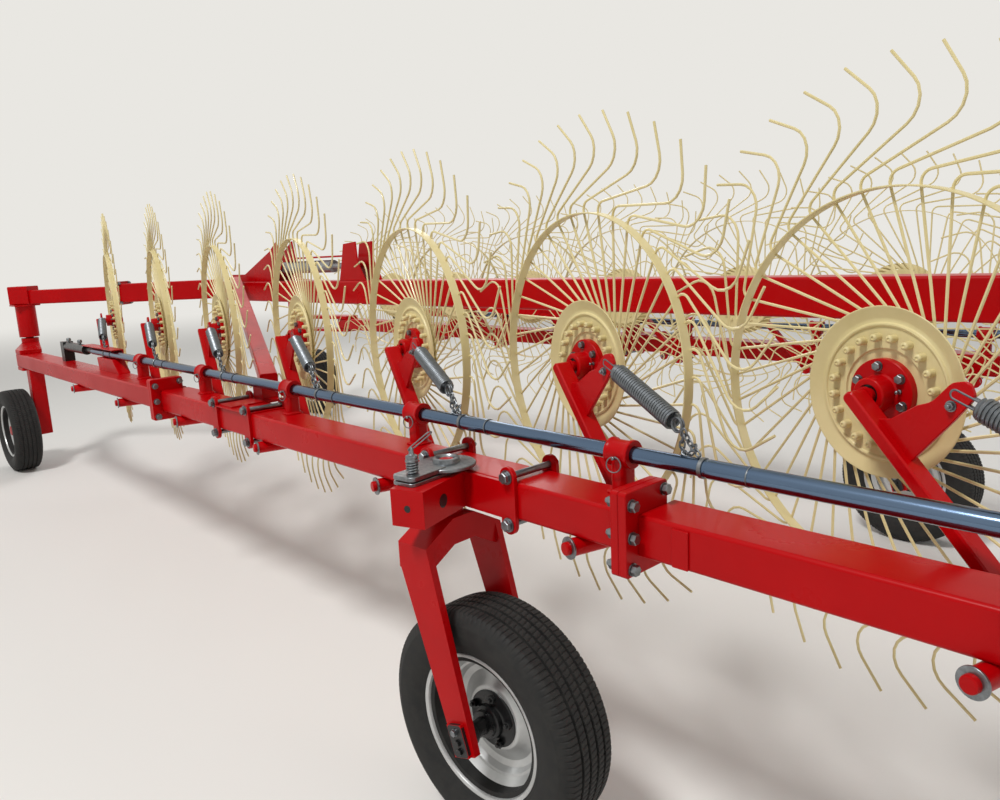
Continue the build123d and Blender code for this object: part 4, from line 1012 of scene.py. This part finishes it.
@dataclass
class LiftShaft(Assembly):
    """Lift shaft of drawn bar, with a sleeve and a ring where each chain is hung."""

    radius: float = 21.0
    front: float = 3195.0
    rear: float = -2150.0
    tube_from: float = 2402.0
    tube_radius: float = 22.6
    ring_forward: float = 550.0
    ring_radius: float = 24.6
    sleeve_length: float = 115.0
    sleeve_radius: float = 22.6

    def pieces(self) -> list[Piece]:
        """The shaft of an arm: closed sections turned about its line.

        Returns:
            The pieces.
        """
        r, t, e, inner = self.radius, self.tube_radius, self.ring_radius, self.radius - 1
        rows = [(r - 2, self.rear), (r, self.rear + 2), (r, self.tube_from), (t - 1, self.tube_from)]
        rows += [(t, self.tube_from + 1), (t, self.front - 2), (t - 2, self.front)]
        shaft = turned(rows, 56).at((0, SHAFT_Y, SHAFT_Z), FORWARD, UP)
        ring = turned([(inner, -5), (e - 1, -5), (e, -4), (e, 4), (e - 1, 5), (inner, 5)], 40, True)
        w, end = self.sleeve_radius, self.sleeve_length
        band = [(inner, 14), (w - 0.6, 14), (w, 16), (w, end - 3), (w + 0.9, end - 2.5)]
        band = turned(band + [(w + 0.9, end - 0.2), (inner, end - 0.2)], 48, True)
        brim = [(inner, end), (w + 1, end), (w + 1.2, end + 1), (w + 1, end + 3), (inner, end + 3)]
        brim = turned(brim, 48, True)
        spots = [(wheel_place(number)[0, 3] + self.ring_forward, SHAFT_Y, SHAFT_Z) for number in WHEELS]
        drawn, plated = (patch.at(spots, FORWARD, UP) for patch in (band, joined(ring, brim)))
        return [Piece("shaft_{}", "arm_{}", {DRAWN: joined(shaft, drawn), ZINC: plated}, "lift_shaft_{}")]


@dataclass
class ArmBeam(Assembly):
    """Arm beam: rounded tube, bolted joints, shaft guides and hinge end."""

    front: float = 3195.0
    rear: float = -3725.0
    y: float = -1427.0
    width: float = 150.0
    height: float = 102.0
    corner: float = 10.0
    joints: Pair = (2167.5, -757.5)
    joint_half: float = 22.5
    joint_box: tuple[float, float, float, float] = (-1547.0, 906.0, -1388.0, 1110.0)
    joint_corner: float = 9.0
    joint_bolts: tuple[Pair, ...] = ((-1525, 925), (-1525, 1000), (-1525, 1077), (-1403, 1088))
    pad: tuple[float, float, float, float] = (2284.0, 951.0, 2326.0, 1040.0)
    guide_forward: float = 320.0
    first_guide: float = 395.0
    guide_length: float = 70.0
    guide_radius: float = 32.0
    hinge: Pair = (-4375.0, -1250.0)
    barrel: float = 65.0
    barrel_span: Pair = (895.0, 1115.0)
    hinge_plates: Pair = (30.0, 23.0)

    def tube(self) -> Patch:
        """The beam's tube, cut at its bolted joints.

        Returns:
            The surface.
        """
        z, half = BEAM_TOP - self.height / 2, self.joint_half
        first, second = self.joints
        cuts = [(self.rear, second - half), (second + half, first - half), (first + half, self.front)]
        size = self.width, self.height, self.corner
        return joined(*(bar((a, self.y, z), (b, self.y, z), *size) for a, b in cuts))

    def joint_plates(self) -> tuple[Patch, Patch]:
        """Two plates back to back at each joint, with the bolts that clamp them.

        Returns:
            The plates and the bolts.
        """
        outline, half = panel(*self.joint_box, self.joint_corner), self.joint_half
        pair = joined(prism(outline, -half, -0.3, 1.6), prism(outline, 0.3, half, 1.6))
        lay = places([(x, 0, 0) for x in self.joints], FORWARD, -OUTWARD)
        spots = np.array([(y, z, half) for y, z in self.joint_bolts])
        heads = bolt_head(24, 13, 15.5).at(spots)
        nuts = nut_on_thread(24, 15, 15.5).at(spots * (1, 1, -1), -UP)
        return pair.laid(lay), joined(heads, nuts).laid(lay)

    def face_pad(self) -> Patch:
        """Upright pad welded on the beam's outer face ahead of the front joint."""
        face = self.y - self.width / 2
        return prism(panel(*self.pad, 3), -1, 5, 1.2).at((0, face, 0), OUTWARD)

    def guides(self) -> tuple[Patch, Patch]:
        """Posts and flared collars that carry the lift shaft, with a pull ring on each.

        Returns:
            The red surfaces and the plated ones.
        """
        r, h = self.guide_radius, self.guide_length / 2
        rows = [(21.8, -h), (r + 2.5, -h), (r + 4, -h + 1.5), (r + 4, -h + 8), (r, -h + 14)]
        rows += [(r, h - 18), (r + 4, h - 9), (r + 4, h - 1.5), (r + 2.5, h), (21.8, h)]
        foot = prism(oblong(64, 70, 16), BEAM_TOP - 1, BEAM_TOP + 6, 2)
        post = prism(oblong(45, 60, 20, 6), BEAM_TOP, SHAFT_Z - 6, 2)
        seam = weld(np.column_stack([oblong(46, 61, 20, 6), np.full(24, BEAM_TOP + 6)]), 3.5)
        forward = [self.first_guide] + [self.guide_forward] * 5
        spots = [(wheel_place(n)[0, 3] + x, SHAFT_Y, 0) for n, x in zip(WHEELS, forward)]
        shaft = spots + UP * SHAFT_Z
        ring = turned(circle(1.7, 8) + (19, 0), 32, True).at(shaft + (2, -r - 8, -22), (0.25, -1, 0.1))
        pin = rod((2, -20, -6), (2, -r - 13, -6), 4.5).at(shaft)
        collar = turned(rows, 44, True).at(shaft, FORWARD, UP)
        return joined(joined(foot, post, seam).at(spots), collar), joined(ring, pin)

    def hinge_end(self) -> Patch:
        """Two plates that run back to the hinge barrel.

        Returns:
            The surface.
        """
        (x, y), b = self.hinge, self.barrel
        inner, outer = self.y + self.width / 2, self.y - self.width / 2
        lap = self.rear + 140
        corners = [(lap, outer), (lap, inner), (x, y + b), (x, y - b), (self.rear, outer)]
        outline = rounded(corners, [12, 12, 8, 8, 30])
        bottom, (above, below) = BEAM_TOP - self.height, self.hinge_plates
        plates = [prism(outline, BEAM_TOP, BEAM_TOP + above, 2), prism(outline, bottom - below, bottom, 2)]
        low, high = self.barrel_span
        rows = [(31, low), (b - 2, low), (b, low + 2), (b, high - 2), (b - 2, high), (31, high)]
        return joined(*plates, turned(rows, 48, True).at((x, y, 0)))

    def pieces(self) -> list[Piece]:
        """The beam of an arm.

        Returns:
            The pieces.
        """
        plates, bolts = self.joint_plates()
        guides, pins = self.guides()
        red = joined(self.tube(), plates, self.face_pad(), guides, self.hinge_end())
        return [Piece("arm_beam_{}", "arm_{}", {RED: red, ZINC: joined(bolts, pins)}, "beam_{}")]


@dataclass
class Clamps(Assembly):
    """Zinc bolts of the clamps over the beam, and black discs of painted shade in the caster's stub's two
    holes.
    """

    forward: tuple[float, ...] = (1421.0, 1770.0, -80.0, 225.0)
    heights: Pair = (1065.0, 933.0)
    outer: float = -1514.0
    inner: float = -1340.0
    bolt: float = 9.8
    stub_turn: float = 19.0
    stub_middle: float = 999.0
    side_hole: Spot = (108.0, 52.0, 19.5)
    end_hole: Spot = (203.0, 0.0, 10.0)

    def bolts(self) -> Patch:
        """Long bolts from ear to ear, each with a washered head outside and a nut inside.

        Returns:
            The surface.
        """
        spots = np.array([(x, 0, z) for x in self.forward for z in self.heights])
        shank = rod((0, self.outer + 10, 0), (0, self.inner - 10, 0), self.bolt).at(spots)
        heads = bolt_head(27, 14, 20).at(spots - OUTWARD * self.outer, OUTWARD, UP)
        nuts = nut_on_thread(24, 10, 15).at(spots - OUTWARD * self.inner, -OUTWARD, UP)
        return joined(shank, heads, nuts)

    def painted_hole_shades(self) -> Patch:
        """Black discs painted as the shade inside the stub's two holes.

        Returns:
            The surface.
        """
        turn = np.radians(self.stub_turn)
        along = np.array([np.sin(turn), -np.cos(turn), 0])
        across = np.array([np.cos(turn), np.sin(turn), 0])
        painted_hole_shades = []
        for (reach, off, radius), out in ((self.side_hole, across), (self.end_hole, along)):
            spot = np.array([*KINGPIN, self.stub_middle]) + along * reach + across * off
            # each hole is a black disc, painted as the shade inside it
            painted_hole_shades.append(turned([(radius - 0.5, -1), (radius, 0.4)], 32).at(spot, out, UP))
        return joined(*painted_hole_shades)

    def pieces(self) -> list[Piece]:
        """The fasteners of an arm."""
        # the black discs in the stub's holes are painted shade
        return [Piece("clamp_bolts_{}", "arm_{}", {ZINC: self.bolts(), BLACK: self.painted_hole_shades()})]


@dataclass
class CasterLock(Assembly):
    """Lock on the stub: a disc with a collar and a nose, a second nose below, and the sprung plunger."""

    turn: float = 8.5
    disc: float = 84.0
    nose: float = 178.0
    nose_width: float = 80.0
    plate_z: float = 1064.0
    plate: float = 10.0
    nose_top: float = 1077.0
    pin_reach: float = 135.0
    coil_radius: float = 14.6
    coil_wire: float = 3.2
    coil_turns: int = 4
    coil_top: float = 1109.0

    def plates(self) -> Patch:
        """Disc with a raised collar, the nose from under the collar, and the second nose below.

        Returns:
            The surface.
        """
        side, z, d, base = self.nose_width / 2, self.plate_z, self.disc, BEAM_TOP
        rows = [(22, z - 2), (d - 1.5, z), (d, z + 1.5), (d, z + 8), (d - 2, z + 10), (46, z + 12)]
        rows += [(40, z + 13), (38, z + 24), (35, z + 26), (30, z + 26), (27, z + 23), (22, z + 14)]
        hub = turned([(21, base), (30, base), (30, z), (21, z)], 40, True)
        low = prism(panel(-30, -side, self.nose, side, [20, 16, 16, 20]), base, base + self.plate, 1.2)
        high = prism(panel(44, -side, self.nose, side, [3, 16, 16, 3]), z, self.nose_top, 1.2)
        return joined(turned(rows, 64, True), low, high, hub)

    def plunger(self) -> Patch:
        """Plunger: pin, coil on its stem, ribbed cap, and the stem's eye with its pull ring.

        Returns:
            The surface.
        """
        z = self.nose_top
        pin = turned([(8, BEAM_TOP + 4), (9, BEAM_TOP + 5), (9, z)], 20)
        stem = turned([(6.5, z - 2), (6.5, 1110)], 20)
        turn = np.linspace(0, self.coil_turns, self.coil_turns * 16 + 1)
        rise = z + 3 + turn / self.coil_turns * (self.coil_top - 3 - z)
        round_x, round_y = np.cos(2 * np.pi * turn), np.sin(2 * np.pi * turn)
        path = np.column_stack([self.coil_radius * round_x, self.coil_radius * round_y, rise])
        cap = [(17, 1107), (18.4, 1108.5), (18.4, 1113), (16.5, 1114.5), (16.5, 1119), (17.5, 1120.5)]
        cap += [(16, 1125), (10, 1127), (7, 1131), (6, 1144), (3.5, 1147)]
        ring = wire_loop(panel(-8, -12, 72, 12, 11.9, 7), 1.9)
        ring = ring.at((0, 0, 1144), (0, 0.7, -0.72), (-0.47, 0.64, 0.61))
        return joined(pin, stem, carried(circle(self.coil_wire, 8), path), turned(cap, 28), ring)

    def pieces(self) -> list[Piece]:
        """The lock of an arm, turned with its stub.

        Returns:
            The pieces.
        """
        turn = np.radians(self.turn)
        lock = joined(self.plates(), self.plunger().at((self.pin_reach, 0, 0)))
        lock = lock.at((*KINGPIN, 0), UP, (np.sin(turn), -np.cos(turn), 0))
        return [Piece("lock_{}", "arm_{}", {ZINC: lock}, "caster_lock_{}")]


@dataclass
class LiftMount(Assembly):
    """Mount of the lift cylinder: a wedge on the beam, a channel over the rod, and two fittings."""

    wedge: tuple[Pair, ...] = ((-1965, 1049), (-1610, 1049), (-1700, 1127), (-1985, 1127))
    wedge_half: float = 34.0
    channel: Pair = (-2275.0, -1690.0)
    channel_z: Pair = (1120.0, 1186.0)
    fittings: Pair = (-2680.0, -2430.0)
    cylinder_top: float = 1181.0

    def pieces(self) -> list[Piece]:
        """The mount of an arm.

        Returns:
            The pieces.
        """
        (a, b), (low, high), t = self.channel, self.channel_z, self.cylinder_top
        side, middle = SHAFT_Y + 31, (low + high) / 2
        wall = bar((a, side, middle), (b, side, middle), 6, high - low, 1.5)
        lid = bar((a, SHAFT_Y, high - 3), (b, SHAFT_Y, high - 3), 66, 6, 1.5)
        wedge = prism(rounded(list(self.wedge), [2, 2, 8, 8]), -self.wedge_half, self.wedge_half, 2)
        red = joined(wedge.at((0, SHAFT_Y, 0), OUTWARD), wall, lid)
        rows = [(9, t - 4), (9, t + 6), (14, t + 7), (15, t + 12), (15, t + 20), (12, t + 26), (6, t + 28)]
        plated = turned(rows, 24).at([(x, SHAFT_Y, 0) for x in self.fittings])
        return [Piece("lift_mount_{}", "arm_{}", {RED: red, ZINC: plated})]


@dataclass
class RoadWheel(Assembly):
    """A road tyre and its rim about their own axis, with Z outboard."""

    radius: float = 344.5
    width: float = 205.0
    bead: float = 208.0
    rim_width: float = 156.0
    blocks: int = 120
    steps: int = 960
    tread: float = 76.0
    groove_rows: Pair = (16.0, 47.0)
    groove_half: float = 4.0
    groove_lips: tuple[float, ...] = (-4.6, -3.6, 3.6, 4.6)
    groove_depth: float = 7.0
    lane_step: float = 6.0
    crown: float = 4.0
    sipe_from: float = 0.80
    sipe_depth: float = 2.8
    axle: float = 25.0

    def tyre(self) -> Patch:
        """Tyre: a section turned about the axis, sunk where tread grooves and sipes run.

        Ring grooves stand at fixed distances from the middle. Sipes cross the ribs where the cosine of
        the angle times the blocks, shifted along the rib, is near one, and end in the shoulder.

        Returns:
            The surface.
        """
        half, edge = self.width / 2, self.tread
        wall = [(self.bead, -74), (215, -79), (225, -86), (228, -86.5), (230, -87.5), (244, -95)]
        wall += [(264, -100.5), (285, -half), (303, -101), (306, -101.4), (309, -100), (322, -95)]
        wall += [(332, -88), (339, -81)]
        grooves = np.array([-1, 1])[:, None, None] * np.array(self.groove_rows)[:, None]
        marks = (grooves + self.groove_lips).ravel()
        lane = np.arange(-72, 73, self.lane_step)
        lane = lane[np.abs(lane[:, None] - marks).min(1) >= 1.2]
        lane = np.sort(np.concatenate([lane, marks, (-edge, edge)]))
        tread = np.column_stack([self.radius - self.crown * (np.abs(lane) / edge) ** 3, lane])
        rows = np.concatenate([wall, tread, [(r, -z) for r, z in wall[::-1]], [(190, 70), (190, -70)]])
        angle = np.linspace(0, 2 * np.pi, self.steps, endpoint=False)[:, None]
        r, z = rows.T
        on_tread = (np.abs(z) <= edge) & (r > 300)
        on_shoulder = (r > 330) & ~on_tread
        near = np.abs(np.abs(z)[:, None] - self.groove_rows).min(1) < self.groove_half
        rings = near & on_tread
        rib = np.searchsorted(self.groove_rows, np.abs(z))
        lean = np.choose(rib, (0.10 * z, 0.08 * z + 1.2, 2.6))
        sipe = (np.cos(self.blocks * angle + lean) > self.sipe_from) & (on_tread | on_shoulder)
        radius = r - self.groove_depth * rings - self.sipe_depth * (sipe & ~rings)
        points = [radius * np.cos(angle), radius * np.sin(angle), np.broadcast_to(z, radius.shape)]
        return Patch(np.stack(points, -1).reshape(-1, 3), [net(self.steps, len(rows), True, True)])

    def rim(self) -> Patch:
        """Rim: a drop-centre barrel with a rolled edge, and the dished disc with its raised ring.

        Returns:
            The surface.
        """
        b, w = self.bead, self.rim_width / 2
        rows = [(b - 2, -w), (b + 6, -w - 2), (b + 9, -w), (b + 8, -w + 3), (b - 1, -w + 6), (b - 4, -w + 18)]
        rows += [(182, -w + 34), (178, 10), (188, 22), (b - 5, 34), (b - 1, w - 6), (b + 8, w - 3)]
        rows += [(b + 10, w + 1), (b + 9, w + 4), (b + 5, w + 4.5), (b - 2, w + 2), (b - 5, w - 4)]
        rows += [(b - 7, w - 16), (b - 12, 40), (190, 34), (180, 24), (171, 16), (169, -w + 40)]
        rows += [(b - 14, -w + 26), (b - 10, -w + 4)]
        disc = [(62, 4), (92, 2), (112, -10), (136, -18), (158, -12), (170, 2), (173, 16), (164, 13)]
        disc += [(154, -4), (136, -10), (114, -2), (98, 13), (90, 16), (62, 16)]
        return joined(turned(rows, 96, True), turned(disc, 96, True))

    def hub(self, flange: float) -> Patch:
        """Hub: flange, barrel and bearing caps turned about the axis, with its five nuts.

        Args:
            flange: radius of the flange that the nuts stand on.

        Returns:
            The surface.
        """
        bore = self.axle + 0.6
        rows = [(bore, -60), (44, -60), (48, -56), (48, -20), (52, -14), (flange, -4), (flange, 20)]
        rows += [(flange - 4, 23), (56, 25), (50, 30), (48, 44), (44, 47), (40, 48), (39, 60), (bore, 62)]
        nuts = nut_on_thread(21, 12, 11).laid(around(5, 0.5 * (flange + 54), 22, 10))
        return joined(turned(rows, 56, True), nuts)

    def pieces(self) -> list[Piece]:
        """The rear wheel and the caster's wheel, a tyre and a rim each.

        Returns:
            The pieces.
        """
        pieces = []
        for where, hub_finish, flange in (("rear", RED, 70.0), ("caster", BLACK, 84.0)):
            joint = JOINTS[f"{where}_right_roll"]
            place = places(np.array(joint["pos_m"]) / MM, -np.array(joint["axis"]), FORWARD)
            tyre = {RUBBER: self.tyre().laid(place)}
            rim = {SILVER: self.rim().laid(place), hub_finish: self.hub(flange).laid(place)}
            for word, skins in (("tyre", tyre), ("rim", rim)):
                node = f"{where}_{word}_{{}}"
                pieces.append(Piece(f"{where}_road_{word}_{{}}", f"{where}_wheel_{{}}", skins, node))
        return pieces


@dataclass
class AxleEnds(Assembly):
    """Black axle of each caster, with its end blocks on the fork's legs and their bolts."""

    yaw: float = 4.0
    trail: float = 150.0
    height: float = 344.5
    leg_rise: float = 465.5
    leg_outer: float = 147.0
    leg_inner: float = 125.0
    block: Spot = (93.0, 59.0, 12.8)
    axle: float = 25.4

    def pieces(self) -> list[Piece]:
        """The axle ends of a caster: rounded blocks along the legs and a turned axle.

        Returns:
            The pieces.
        """
        yaw = np.radians(self.yaw)
        ahead, across = np.array([np.cos(yaw), np.sin(yaw), 0]), np.array([-np.sin(yaw), np.cos(yaw), 0])
        centre = np.array([*KINGPIN, self.height]) + ahead * self.trail
        down = unit(ahead * self.trail - UP * self.leg_rise)
        length, width, top = self.block
        plate = prism(oblong(length, width, 11, 6), -0.5, top, 2)
        block = joined(plate, bolt_head(17, 5, 10).at([(4, 0, top), (28, 0, top)]))
        bolt = bolt_head(17, 8, 11).at((-26, 0, top))
        black, plated = [], []
        for out in (-across, across):
            place = places(centre + out * self.leg_outer, out, down)
            inner = centre + out * self.leg_inner
            plated.append(bolt.laid(place))
            black += [block.laid(place), rod(centre + out * 56, inner, self.axle, 0.2)]
            black.append(rod(centre + out * 104, inner, 33, 2))
        skins = {BLACK: joined(*black), ZINC: joined(*plated)}
        return [Piece("axle_ends_{}", "caster_fork_{}", skins)]


@dataclass
class FrameFittings(Assembly):
    """Bolts of the outriggers' flanges, ends of the braces' tubes, and the bar over the fold cylinder."""

    flange_spot: Spot = (-3750.3, -674.3, 1453.0)
    flange_ahead: Spot = (0.7354, 0.6777, 0.0)
    flange_thickness: float = 36.0
    flange_reach: float = 78.0
    brace_foot: Spot = (40.0, -1304.5, 1137.0)
    brace_head: Spot = (-2745.0, -128.0, 1510.0)
    brace_size: float = 76.0
    fold_bar: Pair = (-2140.0, -1290.0)
    fold_bar_z: float = 1664.0

    def flange_fasteners(self) -> Patch:
        """Four bolts through the outrigger's flange.

        Returns:
            The surface.
        """
        ahead, r = np.array(self.flange_ahead), self.flange_reach
        across, spot = np.cross(ahead, UP), np.array(self.flange_spot)
        corners = np.array([spot + across * r * a + UP * r * b for a in (-1, 1) for b in (-1, 1)])
        heads = bolt_head(24, 13, 15).at(corners + ahead * self.flange_thickness, ahead, UP)
        return joined(heads, nut_on_thread(24, 13, 15).at(corners, -ahead, UP))

    def brace(self) -> dict[Finish, Patch]:
        """Cap on the brace's lower end and the bolt near its head.

        Returns:
            The surface in each finish.
        """
        foot, head = np.array(self.brace_foot), np.array(self.brace_head)
        run = unit(head - foot)
        size = self.brace_size + 0.6
        cap = prism(oblong(size, size, 8), 0, 5, 1.5).at(foot, -run, UP)
        side = unit(np.cross(UP, run))
        spot = head - run * 70 + side * self.brace_size / 2
        return {RED: cap, ZINC: bolt_head(30, 14, 20).at(spot, side, run)}

    def pieces(self) -> list[Piece]:
        """The fittings of the frame and of a brace.

        Returns:
            The pieces.
        """
        start, end = ((x, 0, self.fold_bar_z) for x in self.fold_bar)
        return [
            Piece("fold_bar", "chassis", {RED: bar(start, end, 84, 12, 2)}),
            Piece("outrigger_bolts_{}", "chassis", {ZINC: self.flange_fasteners()}),
            Piece("brace_fittings_{}", "arm_{}", self.brace()),
        ]


@dataclass
class Frame(Assembly):
    """Frame pieces whose solids are dressed as they are: node, body, finish and edge radius."""

    solids: tuple[tuple[str, str, Finish, float], ...] = (
        ("spine", "chassis", RED, 7.0),
        ("drawbar", "chassis", RED, 2.0),
        ("hitch_clevis", "chassis", RED, 2.0),
        ("jack_tube", "chassis", RED, 2.0),
        ("fold_towers", "chassis", RED, 2.0),
        ("fold_cylinder", "chassis", GREY, 1.0),
        ("jack_leg", "jack_leg", RED, 2.0),
        ("outrigger_{}", "chassis", RED, 3.0),
        ("kingpost_{}", "chassis", RED, 4.0),
        ("transport_brace_{}", "arm_{}", RED, 2.5),
        ("brace_bracket_{}", "arm_{}", RED, 2.0),
        ("caster_bracket_{}", "arm_{}", RED, 3.0),
        ("lift_cylinder_{}", "arm_{}", BLACK, 1.0),
        ("caster_fork_{}", "caster_fork_{}", RED, 2.5),
    )

    def pieces(self) -> list[DressedSolid]:
        """The frame's nodes and the arms' brackets."""
        return [DressedSolid(*solid) for solid in self.solids]


@dataclass
class Studio:
    """Floor, soft light and the camera at the photograph's angle."""

    spot: Spot = (3.257, -2.885, 1.656)
    right: Spot = (0.68094, 0.73078, -0.04766)
    up: Spot = (-0.10420, 0.16109, 0.98142)
    sight: Spot = (-0.72488, 0.66333, -0.18584)
    lens_mm: float = 28.588
    sensor_mm: float = 36.0
    paper: str = "#e9e7e2"
    floor_radius: float = 60.0
    sky: float = 0.38
    lamps: tuple[tuple[str, Spot, float, float], ...] = (
        ("key", (1.5, -7.0, 10.5), 2.4, 860.0),
        ("back", (-7.0, 6.0, 7.0), 6.0, 260.0),
        ("fill", (9.0, 1.0, 4.0), 5.0, 90.0),
    )

    def camera(self) -> None:
        """Camera with its axes in the columns of its matrix."""
        data = bpy.data.cameras.new("camera")
        data.sensor_width, data.lens = self.sensor_mm, self.lens_mm
        data.clip_start, data.clip_end = 0.05, 200
        camera = bpy.data.objects.new("camera", data)
        matrix = np.eye(4)
        matrix[:3, 0], matrix[:3, 1], matrix[:3, 2] = self.right, self.up, -np.array(self.sight)
        matrix[:3, 3] = self.spot
        camera.matrix_world = Matrix(matrix.tolist())
        bpy.context.scene.collection.objects.link(camera)
        bpy.context.scene.camera = camera

    def floor(self) -> None:
        """A pale floor disc, turned from rings that widen outward, that melts into the backdrop far out."""
        ring = np.concatenate([np.linspace(0, 20, 12)[1:], [30, 45, self.floor_radius]])
        disc = turned(np.column_stack([ring[::-1], np.full(len(ring), -0.2 * MM)]), 64)
        mesh = bpy.data.meshes.new("studio_floor")
        mesh.from_pydata(disc.points.tolist(), [], [*disc.faces[0].tolist(), disc.faces[1][1].tolist()])
        mesh.materials.append(self.paper_material())
        floor = bpy.data.objects.new("studio_floor", mesh)
        bpy.context.scene.collection.objects.link(floor)

    def backdrop_rays(self, tree: bpy.types.NodeTree) -> bpy.types.NodeSocket:
        """Socket that is 1 for rays that see the backdrop: from the camera, mirrored, or through glass.

        Args:
            tree: the node tree.

        Returns:
            The socket.
        """
        path = add_node(tree, "ShaderNodeLightPath", {}).outputs
        seen = path["Is Camera Ray"]
        for kind in ("Is Glossy Ray", "Is Transmission Ray"):
            seen = add_node(tree, "ShaderNodeMath", {0: seen, 1: path[kind]}, operation="MAXIMUM").outputs[0]
        return seen

    def paper_material(self) -> bpy.types.Material:
        """Matt paper that turns to the backdrop's plain light between 7 and 26 metres out.

        Returns:
            The material.
        """
        material = bpy.data.materials.new("studio_paper")
        material.use_nodes = True
        tree = material.node_tree
        shader = tree.nodes["Principled BSDF"]
        shader.inputs["Base Color"].default_value = to_linear(self.paper)
        shader.inputs["Roughness"].default_value = 0.9
        shader.inputs["Specular IOR Level"].default_value = 0.1
        spot = add_node(tree, "ShaderNodeTexCoord", {}).outputs["Object"]
        reach = add_node(tree, "ShaderNodeVectorMath", {0: spot}, operation="LENGTH").outputs["Value"]
        fade = {"Value": reach, "From Min": 7.0, "From Max": 26.0}
        fade = add_node(tree, "ShaderNodeMapRange", fade, interpolation_type="SMOOTHSTEP").outputs["Result"]
        seen = {"Value": self.backdrop_rays(tree), "To Min": self.sky}
        power = add_node(tree, "ShaderNodeMapRange", seen).outputs["Result"]
        glow = {"Color": to_linear(self.paper), "Strength": power}
        glow = add_node(tree, "ShaderNodeEmission", glow).outputs["Emission"]
        mix = add_node(tree, "ShaderNodeMixShader", {0: fade, 1: shader.outputs["BSDF"], 2: glow})
        tree.links.new(mix.outputs["Shader"], tree.nodes["Material Output"].inputs["Surface"])
        return material

    def light(self) -> None:
        """An even sky for fill behind the plain backdrop, and three wide lamps above."""
        world = bpy.data.worlds.new("studio")
        bpy.context.scene.world = world
        world.use_nodes = True
        tree = world.node_tree
        tree.nodes.clear()
        fill = add_node(tree, "ShaderNodeBackground", {"Color": (1.0, 1.0, 1.0, 1.0), "Strength": self.sky})
        shown = add_node(tree, "ShaderNodeBackground", {"Color": to_linear(self.paper), "Strength": 1.0})
        rays = {0: self.backdrop_rays(tree), 1: fill.outputs[0], 2: shown.outputs[0]}
        mix = add_node(tree, "ShaderNodeMixShader", rays)
        add_node(tree, "ShaderNodeOutputWorld", {"Surface": mix.outputs[0]})
        for name, spot, size, power in self.lamps:
            data = bpy.data.lights.new(name, "AREA")
            data.shape, data.size, data.energy = "DISK", size, power
            lamp = bpy.data.objects.new(name, data)
            look = places(spot, np.array(spot) - (0.0, 0.0, 0.8), FORWARD)[0]
            lamp.matrix_world = Matrix(look.tolist())
            bpy.context.scene.collection.objects.link(lamp)

    def build(self) -> None:
        """Set the studio up."""
        bpy.context.scene.view_settings.view_transform = "Standard"
        self.camera()
        self.floor()
        self.light()


def main() -> None:
    """Build the sub-assemblies in order."""
    logging.basicConfig(level=logging.INFO, format="%(message)s")
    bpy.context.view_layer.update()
    Studio().build()
    arms = (RakingWheel(), Cranks(), FloatSprings(), LiftShaft(), ArmBeam(), Clamps(), CasterLock())
    for assembly in (*arms, LiftMount(), RoadWheel(), AxleEnds(), FrameFittings(), Frame()):
        log.info("building %s", type(assembly).__name__)
        assembly.build()


if __name__ == "__main__":
    main()
